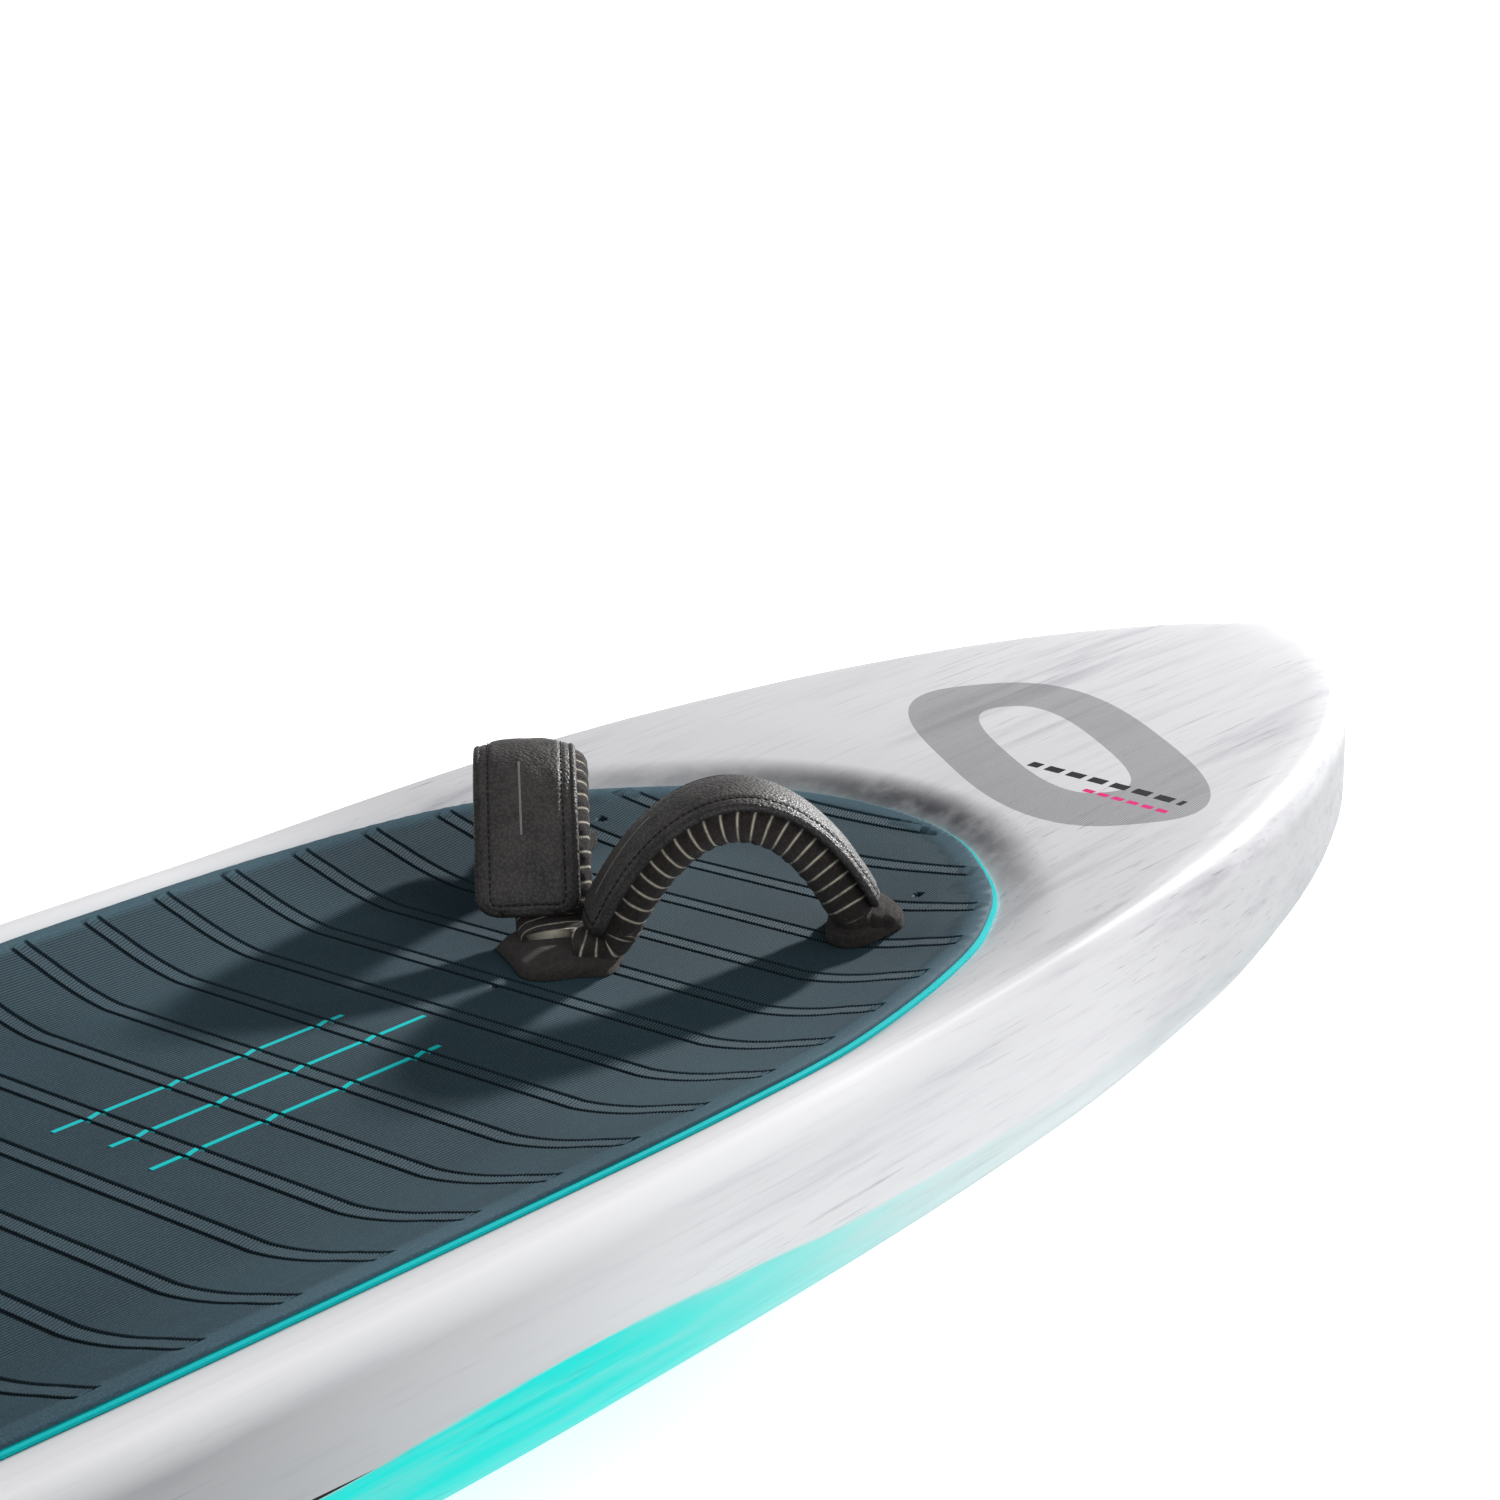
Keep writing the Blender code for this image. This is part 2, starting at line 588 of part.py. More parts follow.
for name, (x, y) in SCREWS.items():
    seat = pad_height(x, y) + TAB_LIFT + TAB
    cut(tabs[name], rod("tab_hole_" + name, HOLE_RADIUS, -0.02, 0.02, (x, y, seat), segments=8),
        rod("washer_seat_" + name, WASHER_RADIUS + GAP, -0.0004, 0.02, (x, y, seat), segments=16))
    ring = [(HOLE_RADIUS, 0), (WASHER_RADIUS, 0), (WASHER_RADIUS, WASHER), (HOLE_RADIUS, WASHER)]
    turned("strap_washer_" + name, ring, (x, y, seat), BLACK_PLASTIC, 16)
    head = [(0, -0.026), (SCREW_RADIUS, -0.026), (SCREW_RADIUS, 0), (0.0055, 0), (0.0052, 0.0016),
            (0.0034, 0.0028), (0, 0.0032)]
    turned("strap_screw_" + name, head, (x, y, seat + WASHER + GAP), STEEL, 12)


# ---------------------------------------------------------------- foot straps
SLEEVE_WIDE, SLEEVE_THICK = 0.0225, 0.013
CORE_WIDE, CORE_THICK = 0.0175, 0.0014
COVER_WIDE, COVER_THICK, COVER_CLEARANCE = 0.0305, 0.003, 0.0012
COVER_SHIFT = {"port": 0.015, "starboard": 0.0}     # each cover's own offset across its strap
COVER_START, COVER_END = 0.46, 0.34      # how much later and sooner than the sleeve the cover runs
ARCH_STEPS = 14


def arch_frames(side, start, end):
    """Points along a strap's arch, each with its outward normal and its sideways direction."""
    sideways = (along_strap(side, 0, 1) - along_strap(side, 0, 0)).to_3d() * side

    def at(turn):
        plan = along_strap(side, ARCH_MIDDLE - ARCH_HALF_SPAN * math.cos(turn), 0)
        lift = ARCH_FOOT + ARCH_RISE * math.sin(turn) ** ARCH_POWER
        return Vector((plan.x, plan.y, pad_height(plan.x, plan.y) + lift))

    frames = []
    for k in range(ARCH_STEPS + 1):
        turn = start + (end - start) * k / ARCH_STEPS
        tangent = (at(turn + 0.01) - at(turn - 0.01)).normalized()
        frames.append((at(turn), tangent.cross(sideways).normalized(), sideways))
    return frames


def sweep(name, frames, outer, skin_material, inner=None):
    """Closed profile carried along the frames. With an inner profile it is an open-ended tube."""
    loops = [outer] + ([inner] if inner else [])
    vertices, starts = [], []
    for loop in loops:
        starts.append(len(vertices))
        for origin, normal, sideways in frames:
            vertices += [origin + sideways * v + normal * n for v, n in loop]
    faces = []
    for which, loop in enumerate(loops):
        size = len(loop)
        for i in range(len(frames) - 1):
            for j in range(size):
                a = starts[which] + i * size + j
                b = starts[which] + i * size + (j + 1) % size
                quad = (a, b, b + size, a + size)
                faces.append(quad[::-1] if which else quad)
    size = len(outer)
    last = (len(frames) - 1) * size
    if not inner:
        faces += [tuple(reversed(range(size))), tuple(range(last, last + size))]
    else:
        for j in range(size):
            n = (j + 1) % size
            faces.append((n, j, starts[1] + j, starts[1] + n))
            faces.append((last + j, last + n, starts[1] + last + n, starts[1] + last + j))
    return add_object(name, vertices, faces, skin_material, 40.0)


def oval(wide, thick, count, power=0.75):
    points = []
    for k in range(count):
        turn = 2 * math.pi * k / count
        c, s = math.cos(turn), math.sin(turn)
        points.append((math.copysign(abs(c) ** power, c) * wide, math.copysign(abs(s) ** power, s) * thick))
    return points


def rectangle(wide, thick):
    """Rectangle of twelve points, so that it can be joined by faces to an oval of twelve."""
    upper = [(wide * share, thick) for share in (1.0, 0.5, 0.0, -0.5, -1.0)]
    return [(wide, 0.0)] + upper + [(-wide, 0.0)] + [(-v, -n) for v, n in upper]


for name, side in STRAPS.items():
    begin = math.asin(((STRAP_START - ARCH_FOOT) / ARCH_RISE) ** (1 / ARCH_POWER))
    frames = arch_frames(side, begin, math.pi - begin)
    sleeve = sweep("strap_sleeve_" + name, frames, oval(SLEEVE_WIDE, SLEEVE_THICK, 12), KNIT,
                   rectangle(CORE_WIDE + GAP, CORE_THICK + GAP))
    core = [(-CORE_WIDE, -CORE_THICK), (CORE_WIDE, -CORE_THICK), (CORE_WIDE, CORE_THICK), (-CORE_WIDE, CORE_THICK)]
    webbing = sweep("strap_webbing_" + name, frames, core, WEBBING)
    low = SLEEVE_THICK + COVER_CLEARANCE
    high = low + COVER_THICK
    shift = side * COVER_SHIFT[name]
    v0, v1 = shift - COVER_WIDE, shift + COVER_WIDE
    over = arch_frames(side, begin + COVER_START, math.pi - begin - COVER_END)
    cover = sweep("strap_cover_" + name, over, [(v0, low), (v1, low), (v1, high - 0.001), (v1 - 0.004, high),
                                                (v0 + 0.004, high), (v0, high - 0.001)], LEATHER)
    hinge = along_strap(side, ARCH_MIDDLE, 0)
    for piece in (sleeve, webbing, cover):
        put_origin(piece, (hinge.x, hinge.y, STRAP_HINGE_Z))


# ---------------------------------------------------------------- foil tracks
BLOCK_LOW, BLOCK_HIGH = SKIN + GAP, 0.070
block = box("mast_block", (TRACK_X - 0.190, -0.076, BLOCK_LOW), (TRACK_X + 0.190, 0.076, BLOCK_HIGH), DENSE_FOAM)
block_pocket = box("mast_block_pocket", (TRACK_X - 0.190 - GAP, -0.076 - GAP, -0.01),
                   (TRACK_X + 0.190 + GAP, 0.076 + GAP, BLOCK_HIGH + GAP))
for piece in inner_pieces:
    cut(piece, block_pocket)


def track(name, y):
    """Plastic track with a T-shaped channel that opens downwards and a window to drop the nuts in."""
    half, wide = TRACK_LENGTH / 2, 0.012
    made = box(name, (TRACK_X - half, y - wide, GAP), (TRACK_X + half, y + wide, 0.026), BLACK_PLASTIC)
    mouth = box(name + "_mouth", (TRACK_X - half + 0.006, y - 0.0048, -0.01),
                (TRACK_X + half - 0.006, y + 0.0048, 0.010))
    channel = box(name + "_channel", (TRACK_X - half + 0.006, y - 0.0083, 0.006),
                  (TRACK_X + half - 0.006, y + 0.0083, 0.0145))
    window = box(name + "_window", (TRACK_X - 0.009, y - 0.0083, -0.02), (TRACK_X + 0.009, y + 0.0083, 0.0122))
    cut(made, mouth, channel, window)
    pocket = box(name + "_pocket", (TRACK_X - half - GAP, y - wide - GAP, -0.03),
                 (TRACK_X + half + GAP, y + wide + GAP, 0.026 + GAP))
    cut(block, pocket)
    cut(bottom_skin, pocket)


def track_nut(name, x, y):
    made = box(name, (x - 0.0078, y - 0.0078, 0.0066), (x + 0.0078, y + 0.0078, 0.0125), BRASS)
    neck = box(name + "_neck", (x - 0.0075, y - 0.0044, 0.0020), (x + 0.0075, y + 0.0044, 0.0090), BRASS)
    combine(made, neck, "UNION")
    cut(made, rod(name + "_thread", 0.0034, -0.02, 0.03, (x, y, 0)))
    put_origin(made, (x, y, 0.0095))


for side, y in (("port", TRACK_Y), ("starboard", -TRACK_Y)):
    track("mast_track_" + side, y)
    track_nut("track_nut_front_" + side, TRACK_X + NUT_X, y)
    track_nut("track_nut_rear_" + side, TRACK_X - NUT_X, y)


# ---------------------------------------------------------------- carry handle in the bottom
FLANGE_HALF = (0.1027, 0.0527)
CUP_MOUTH_HALF = (0.093, 0.043)
CUP_DEPTH = 0.047
CUP_FLOOR = 0.045
GRIP_SCREW_REACH = 0.076     # grip screws, ahead of and behind the middle of the handle
GRIP_SCREW_RADIUS = 0.0025
HANDLE_ENDS = {"front": 1, "rear": -1}


def rounded_rectangle(half_x, half_y, radius, z):
    points = []
    for corner, (sx, sy) in enumerate(((1, 1), (-1, 1), (-1, -1), (1, -1))):
        for k in range(4):
            turn = math.pi / 2 * (corner + k / 3)
            points.append((HANDLE_X + sx * (half_x - radius) + radius * math.cos(turn),
                           sy * (half_y - radius) + radius * math.sin(turn), z))
    return points


def handle_cup():
    """Recessed cup whose flange lies flush in the bottom skin, with two bosses for the grip."""
    loops = [rounded_rectangle(*FLANGE_HALF, 0.020, GAP),
             rounded_rectangle(*FLANGE_HALF, 0.020, GAP + SKIN),
             rounded_rectangle(0.095, 0.045, 0.018, GAP + SKIN),
             rounded_rectangle(0.085, 0.035, 0.016, CUP_DEPTH),
             rounded_rectangle(0.083, 0.033, 0.015, CUP_FLOOR),
             rounded_rectangle(*CUP_MOUTH_HALF, 0.018, GAP)]
    size = len(loops[0])
    outside_top, inside_top = 3, 4
    faces = []
    for a in range(len(loops)):
        b = (a + 1) % len(loops)
        if a == outside_top:
            continue
        for j in range(size):
            n = (j + 1) % size
            faces.append((a * size + j, a * size + n, b * size + n, b * size + j))
    faces.append(tuple(outside_top * size + j for j in range(size)))
    faces.append(tuple(inside_top * size + j for j in reversed(range(size))))
    made = add_object("handle_cup", [p for loop in loops for p in loop], faces, BLACK_PLASTIC)
    for name, end in HANDLE_ENDS.items():
        x0, x1 = sorted((HANDLE_X + end * 0.068, HANDLE_X + end * 0.084))
        boss = box("handle_boss_" + name, (x0, -0.013, 0.020), (x1, 0.013, 0.046), BLACK_PLASTIC)
        combine(made, boss, "UNION")
        spot = (HANDLE_X + end * GRIP_SCREW_REACH, 0, 0)
        cut(made, rod("handle_thread_" + name, GRIP_SCREW_RADIUS + GAP, 0.010, 0.038, spot, segments=8))


handle_cup()
flange_hole = [rounded_rectangle(0.103, 0.053, 0.020, z) for z in (-0.02, 0.02)]
cut(bottom_skin, loft("cup_skin_pocket", flange_hole, FOAM))
core_pocket = [rounded_rectangle(0.1035, 0.0535, 0.020, -0.02),
               rounded_rectangle(0.1035, 0.0535, 0.020, SKIN + 2 * GAP),
               rounded_rectangle(0.0958, 0.0458, 0.018, SKIN + 3 * GAP),
               rounded_rectangle(0.0858, 0.0358, 0.016, CUP_DEPTH + 0.0005)]
for piece in inner_pieces:
    cut(piece, loft("cup_pocket_" + piece.name, core_pocket, FOAM))


def grip_section(x, half, top):
    """Six-sided section of the grip at x, widest just below its top."""
    outline = [(-half, 0.0030), (half, 0.0030), (half + 0.001, 0.0105), (half - 0.003, top),
               (0.003 - half, top), (-half - 0.001, 0.0105)]
    return [(HANDLE_X + x, y, z) for y, z in outline]


GRIP_STATIONS = [(-0.086, 0.0120, 0.0190), (-0.064, 0.0120, 0.0190), (-0.050, 0.0105, 0.0185),
                 (0.050, 0.0105, 0.0185), (0.064, 0.0120, 0.0190), (0.086, 0.0120, 0.0190)]
grip = loft("handle_grip", [grip_section(*station) for station in GRIP_STATIONS], BLACK_PLASTIC)
for name, end in HANDLE_ENDS.items():
    spot = (HANDLE_X + end * GRIP_SCREW_REACH, 0, 0)
    stepped = [(0, 0), (0.0052, 0), (0.0052, 0.0070), (GRIP_SCREW_RADIUS + GAP, 0.0070),
               (GRIP_SCREW_RADIUS + GAP, 0.03), (0, 0.03)]
    cut(grip, turned("grip_hole_" + name, stepped, spot, FOAM, 12))
    screw = [(0, 0.0040), (0.0045, 0.0040), (0.0045, 0.0067), (GRIP_SCREW_RADIUS, 0.0067),
             (GRIP_SCREW_RADIUS, 0.034), (0, 0.034)]
    turned("handle_screw_" + name, screw, spot, STEEL, 12)


# ---------------------------------------------------------------- leash plug and vent
def deck_fitting_pocket(name, x, y, radius, depth):
    z = deck_height(x, y)
    through = rod(name + "_skin_hole", radius + GAP, -0.02, 0.03, (x, y, z), segments=20)
    cut(deck_skin, through)
    pocket = rod(name + "_core_hole", radius + GAP, -depth - GAP, 0.03, (x, y, z), segments=20)
    for piece in inner_pieces:
        cut(piece, pocket)


LEASH_RADIUS, LEASH_DEEP, LEASH_BAR_RADIUS, LEASH_BAR_DROP = 0.0165, 0.025, 0.0025, 0.0045
leash_z = deck_height(LEASH_X, 0.0)
leash_cup = [(0, -LEASH_DEEP), (LEASH_RADIUS, -LEASH_DEEP), (LEASH_RADIUS, 0.0025), (0.0215, 0.0025),
             (0.0205, 0.0045), (0.0140, 0.0045), (0.0132, 0.0020), (0.0132, -0.0215), (0, -0.0215)]
leash = turned("leash_plug", leash_cup, (LEASH_X, 0.0, leash_z), BLACK_PLASTIC, 20)
bar_at = (LEASH_X, 0.0, leash_z - LEASH_BAR_DROP)
cut(leash, rod("leash_bar_hole", LEASH_BAR_RADIUS + GAP, -0.0157, 0.0157, bar_at, axis="Y"))
rod("leash_bar", LEASH_BAR_RADIUS, -0.0154, 0.0154, bar_at, STEEL, axis="Y")
deck_fitting_pocket("leash", LEASH_X, 0.0, LEASH_RADIUS, LEASH_DEEP)

VENT_RADIUS, VENT_DEEP = 0.0100, 0.018
vent_at = (*VENT_XY, deck_height(*VENT_XY))
vent_tube = [(0.0045, -VENT_DEEP), (VENT_RADIUS, -VENT_DEEP), (VENT_RADIUS, 0.0030), (0.0145, 0.0030),
             (0.0138, 0.0045), (0.0090, 0.0045), (0.0090, -0.0060), (0.0045, -0.0060)]
cap = [(0, -0.0044), (0.0086, -0.0044), (0.0086, 0.0038), (0.0070, 0.0046), (0, 0.0046)]
seal = [(0.0104, 0.0009), (0.0132, 0.0009), (0.0132, 0.0026), (0.0104, 0.0026)]
turned("vent_body", vent_tube, vent_at, BLACK_PLASTIC, 16)
rod("vent_membrane", 0.0086, -0.0057, -0.0050, vent_at, MEMBRANE, 16)
turned("vent_cap", cap, vent_at, STEEL, 16)
turned("vent_seal", seal, vent_at, BLACK_PLASTIC, 16)
deck_fitting_pocket("vent", *VENT_XY, VENT_RADIUS, VENT_DEEP)
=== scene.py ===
"""Looks of a foil-ready stand up paddleboard: painted hull, ribbed deck pad and padded foot straps."""
import math

import bmesh
import bpy
import numpy as np
from mathutils import Matrix, Vector


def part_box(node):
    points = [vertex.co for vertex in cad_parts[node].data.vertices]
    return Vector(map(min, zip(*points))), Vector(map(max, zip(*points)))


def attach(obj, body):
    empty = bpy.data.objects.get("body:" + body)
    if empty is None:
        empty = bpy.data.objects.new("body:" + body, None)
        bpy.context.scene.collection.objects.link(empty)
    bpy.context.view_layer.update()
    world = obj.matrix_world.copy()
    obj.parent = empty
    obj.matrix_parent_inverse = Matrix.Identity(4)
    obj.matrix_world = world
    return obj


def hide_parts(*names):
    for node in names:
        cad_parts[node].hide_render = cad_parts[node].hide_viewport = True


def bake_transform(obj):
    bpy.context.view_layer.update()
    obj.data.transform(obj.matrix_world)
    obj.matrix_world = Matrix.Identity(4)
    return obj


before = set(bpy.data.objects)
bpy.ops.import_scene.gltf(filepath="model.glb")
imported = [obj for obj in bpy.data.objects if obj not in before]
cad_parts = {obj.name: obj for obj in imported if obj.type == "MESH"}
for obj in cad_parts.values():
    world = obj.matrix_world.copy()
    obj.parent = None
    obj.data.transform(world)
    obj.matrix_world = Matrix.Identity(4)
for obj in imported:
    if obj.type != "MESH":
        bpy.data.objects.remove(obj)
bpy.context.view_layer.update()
BOARD = "board"

# -------------------- hull lines: the CAD model's, rounder at the crest
NOSE_X = 1.065
FLAT_DECK_Z = 0.103
PAD_BASE, PAD_TOP, GAP = 0.0018, 0.0024, 0.0003
PAD_STACK = 2 * GAP + PAD_BASE + PAD_TOP
OUTLINE = [(-1.0650, 0.142), (-1.0500, 0.163), (-1.0200, 0.176), (-0.9500, 0.192), (-0.8000, 0.219),
           (-0.6000, 0.245), (-0.3500, 0.268), (-0.1000, 0.2785), (0.0300, 0.2795), (0.1500, 0.2785),
           (0.3000, 0.2750), (0.5000, 0.2610), (0.6500, 0.2325), (0.8000, 0.1830), (0.9000, 0.1325),
           (0.9700, 0.0815), (1.0250, 0.0345), (1.0550, 0.0080), (1.0650, 0.0012)]
RAIL_TOP = [(-1.0650, 0.1020), (-0.9000, 0.1105), (-0.6000, 0.1200), (-0.2000, 0.1235), (0.1000, 0.1238),
            (0.3000, 0.1280), (0.4300, 0.1315), (0.6500, 0.1348), (0.8000, 0.1362), (0.9000, 0.1369),
            (0.9700, 0.1367), (1.0250, 0.1330), (1.0650, 0.1285)]
PAD_RIM = [(-1.0650, 0.0990), (-0.9000, 0.1090), (-0.6000, 0.1190), (-0.2000, 0.1225), (0.1000, 0.1225),
           (0.3000, 0.1260), (0.4800, 0.1275)]
BOTTOM = [(-1.0650, 0.0340), (-0.9000, 0.0160), (-0.7500, 0.0040), (-0.6400, 0.0), (0.1000, 0.0),
          (0.3000, 0.0055), (0.5000, 0.0195), (0.6500, 0.0305), (0.8000, 0.0395), (0.9000, 0.0456),
          (0.9700, 0.0500), (1.0250, 0.0533), (1.0650, 0.0554)]
PAD_OUTLINE = [(0.476, 0.0), (0.473, 0.034), (0.464, 0.067), (0.448, 0.099), (0.424, 0.129),
               (0.377, 0.174), (0.330, 0.201), (0.290, 0.217), (0.236, 0.230), (0.180, 0.239),
               (0.126, 0.2445), (0.060, 0.246), (-0.060, 0.2445), (-0.350, 0.232), (-0.600, 0.210),
               (-0.800, 0.186), (-0.915, 0.166), (-0.942, 0.152), (-0.955, 0.125), (-0.955, 0.0)]
TRANSOM = [(-1.0500, 0.163), (-1.0610, 0.150), (-1.0650, 0.132), (-1.0650, 0.080), (-1.0650, 0.0)]
RAIL_INSET, FULL_RAIL_WIDTH, PARTING_SHARE = 0.013, 0.25, 0.48
# Rail profile below its top edge: (inset from the widest line, share of the rail's depth from the top).
UPPER_RAIL = [(0.0130, 0.0), (0.0072, 0.022), (0.0025, 0.090), (0.0003, 0.25), (0.0, 1 - PARTING_SHARE)]
LOWER_RAIL = [(0.0, 1 - PARTING_SHARE), (0.0, 0.64), (0.002, 0.78), (0.013, 0.90),
              (0.038, 0.975), (0.080, 1.0)]
# How much the rail's insets grow along the board: it is rounder below aft, and at its crest near the nose.
LOWER_TUCK = [(-1.065, 1.35), (0.10, 1.35), (0.40, 1.0), (1.065, 1.0)]
UPPER_TUCK = [(-1.065, 1.0), (0.30, 1.0), (0.60, 1.9), (1.065, 2.2)]
DISH_REACH, DISH_POWER, RIM_RAMP, NARROW_RAMP, NOSE_CROWN = 0.095, 1.8, 0.038, 0.016, 0.004
RIDGE_IN, RIDGE_RISE = 0.012, 0.0045      # soft ridge along the pad's sides, inside its edge


def line_value(points, x):
    """Monotone cubic through (x, value) points, for an array of x."""
    px, py = np.array(points).T
    x = np.clip(np.asarray(x, float), px[0], px[-1])
    slopes = np.diff(py) / np.diff(px)
    product = slopes[:-1] * slopes[1:]
    total = slopes[:-1] + slopes[1:]
    inner = np.where(product > 0, 2 * product / np.where(total == 0, 1, total), 0.0)
    tangents = np.concatenate([slopes[:1], inner, slopes[-1:]])
    i = np.clip(np.searchsorted(px, x, side="right") - 1, 0, len(px) - 2)
    step = px[i + 1] - px[i]
    t = (x - px[i]) / step
    return ((2 * t**3 - 3 * t**2 + 1) * py[i] + (t**3 - 2 * t**2 + t) * step * tangents[i]
            + (3 * t**2 - 2 * t**3) * py[i + 1] + (t**3 - t**2) * step * tangents[i + 1])


def smooth_path(points, steps):
    """Catmull-Rom curve through points of any dimension, steps per span."""
    ends = np.array([points[0]] + list(points) + [points[-1]], float)
    t = np.arange(steps)[:, None] / steps
    spans = [0.5 * (2 * b + (c - a) * t + (2 * a - 5 * b + 4 * c - d) * t**2
                    + (3 * b - a - 3 * c + d) * t**3)
             for a, b, c, d in zip(ends, ends[1:], ends[2:], ends[3:])]
    return np.concatenate(spans + [ends[-1:]])


def along(path, shares):
    """Points of a polyline at shares of its length."""
    steps = np.concatenate([[0], np.cumsum(np.linalg.norm(np.diff(path, axis=0), axis=1))])
    return np.stack([np.interp(shares, steps / steps[-1], path[:, k]) for k in range(path.shape[1])], 1)


def share_at_x(path, x):
    """Share of a nose-to-tail path's length at which it passes x."""
    steps = np.concatenate([[0], np.cumsum(np.linalg.norm(np.diff(path, axis=0), axis=1))])
    return float(np.interp(-x, -path[:, 0], steps / steps[-1]))


PAD_EDGE = smooth_path(PAD_OUTLINE, 6)


def pad_half_width(x):
    inside = (x < PAD_EDGE[0, 0]) & (x > PAD_EDGE[-1, 0])
    return np.where(inside, np.interp(-x, -PAD_EDGE[:, 0], PAD_EDGE[:, 1]), 0.0)


def depth_inside_pad(x, y):
    """Distance to the pad's edge, positive inside it."""
    points = np.stack([np.ravel(x), np.abs(np.ravel(y))], 1)
    start, run = PAD_EDGE[:-1], np.diff(PAD_EDGE, axis=0)
    found = []
    for part in np.array_split(points, max(1, len(points) // 20000)):
        away = part[:, None] - start
        t = np.clip((away * run).sum(2) / (run**2).sum(1), 0, 1)
        found.append(np.linalg.norm(away - t[..., None] * run, axis=2).min(1))
    sign = np.where(points[:, 1] < pad_half_width(points[:, 0]), 1, -1)
    return (np.concatenate(found) * sign).reshape(np.shape(x))


def pad_height(x, y, depth=None):
    """Height of the pad's top surface, carried on past its edge as a level rim."""
    depth = depth_inside_pad(x, y) if depth is None else depth
    ahead = np.minimum(x, PAD_EDGE[0, 0])
    centre = FLAT_DECK_Z + np.maximum(0, ahead - 0.100) ** 2 / 8 - np.maximum(0, -0.450 - ahead) ** 2 / 32
    edge = line_value(PAD_RIM, x)
    ridge = RIDGE_RISE * np.clip((0.44 - x) / 0.12, 0, 1) * np.clip((x + 0.93) / 0.10, 0, 1)
    inwards = np.sin(np.pi / 2 * np.clip(depth / RIDGE_IN, 0, 1))
    bump = ridge * inwards * np.clip((DISH_REACH - depth) / 0.06, 0, 1)
    share = np.clip(1 - np.maximum(depth, 0) / DISH_REACH, 0, 1) ** DISH_POWER
    return centre + (edge - centre) * share + bump


def deck_height(x, y):
    """Height of the hull's deck, with the shallow dish that carries the pad."""
    depth = depth_inside_pad(x, y)
    floor = pad_height(x, y, depth) - PAD_STACK
    width = line_value(OUTLINE, x)
    crown = NOSE_CROWN * np.clip((x - 0.40) / 0.15, 0, 1) * np.maximum(0, 1 - (y / width) ** 2)
    ramp = np.clip(0.8 * (width - RAIL_INSET - pad_half_width(x)), NARROW_RAMP, RIM_RAMP)
    rise = np.sin(np.clip(-depth / ramp, 0, 1) * math.pi / 2)
    return floor + (line_value(RAIL_TOP, x) + crown - floor) * rise


# -------------------- mesh helpers
def new_piece(name, vertices, faces, material, body=BOARD, sharp=40.0, merge=1e-6, colours=None):
    """Mesh object that rides on a body, if given. colours maps attribute names to a value per vertex."""
    mesh = bpy.data.meshes.new(name)
    mesh.from_pydata(np.asarray(vertices, float).tolist(), [], [tuple(map(int, f)) for f in faces])
    for key, values in (colours or {}).items():
        mesh.attributes.new(key, "FLOAT", "POINT").data.foreach_set("value", np.asarray(values, np.float32))
    work = bmesh.new()
    work.from_mesh(mesh)
    if merge:
        bmesh.ops.remove_doubles(work, verts=work.verts, dist=merge)
    bmesh.ops.dissolve_degenerate(work, edges=work.edges, dist=1e-7)
    bmesh.ops.recalc_face_normals(work, faces=work.faces)
    work.to_mesh(mesh)
    work.free()
    mesh.materials.append(material)
    piece = bpy.data.objects.new(name, mesh)
    bpy.context.scene.collection.objects.link(piece)
    mesh.shade_smooth()
    if sharp:
        mesh.set_sharp_from_angle(angle=math.radians(sharp))
    if body:
        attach(piece, body)
    return piece


def grid_faces(rows, columns, wrap_rows=False, wrap_columns=False, start=0):
    r = np.arange(rows if wrap_rows else rows - 1)[:, None]
    c = np.arange(columns if wrap_columns else columns - 1)[None, :]
    a = r * columns + c
    b = r * columns + (c + 1) % columns
    d = (r + 1) % rows * columns + c
    e = (r + 1) % rows * columns + (c + 1) % columns
    return (np.stack([a, b, e, d], -1).reshape(-1, 4) + start).tolist()


def capped_faces(rows, count):
    """Faces of a closed form made of rows of count points, each row a closed ring."""
    ends = [list(range(count)), list(range((rows - 1) * count, rows * count))[::-1]]
    return grid_faces(rows, count, wrap_columns=True) + ends


def boolean_cut(piece, cutter):
    cut = piece.modifiers.new("cut", "BOOLEAN")
    cut.operation, cut.object, cut.solver = "DIFFERENCE", cutter, "EXACT"
    graph = bpy.context.evaluated_depsgraph_get()
    mesh = bpy.data.meshes.new_from_object(piece.evaluated_get(graph))
    piece.modifiers.clear()
    piece.data = mesh
    bpy.data.objects.remove(cutter)


def prism(outline, low, high):
    """Loose closed prism, used as a cutter."""
    count = len(outline)
    vertices = [(x, y, z) for z in (low, high) for x, y in outline]
    sides = [(k, (k + 1) % count, count + (k + 1) % count, count + k) for k in range(count)]
    mesh = bpy.data.meshes.new("cutter")
    mesh.from_pydata(vertices, [], sides + [tuple(range(count))[::-1], tuple(range(count, 2 * count))])
    cutter = bpy.data.objects.new("cutter", mesh)
    bpy.context.scene.collection.objects.link(cutter)
    return cutter


def rounded_rectangle(centre, half, radius, steps=6):
    points = []
    for corner, (sx, sy) in enumerate(((1, 1), (-1, 1), (-1, -1), (1, -1))):
        for k in range(steps + 1):
            turn = math.pi / 2 * (corner + k / steps)
            points.append((centre[0] + sx * (half[0] - radius) + radius * math.cos(turn),
                           centre[1] + sy * (half[1] - radius) + radius * math.sin(turn)))
    return points


def circle(centre, radius, steps=32):
    return [(centre[0] + radius * math.cos(2 * math.pi * k / steps),
             centre[1] + radius * math.sin(2 * math.pi * k / steps)) for k in range(steps)]


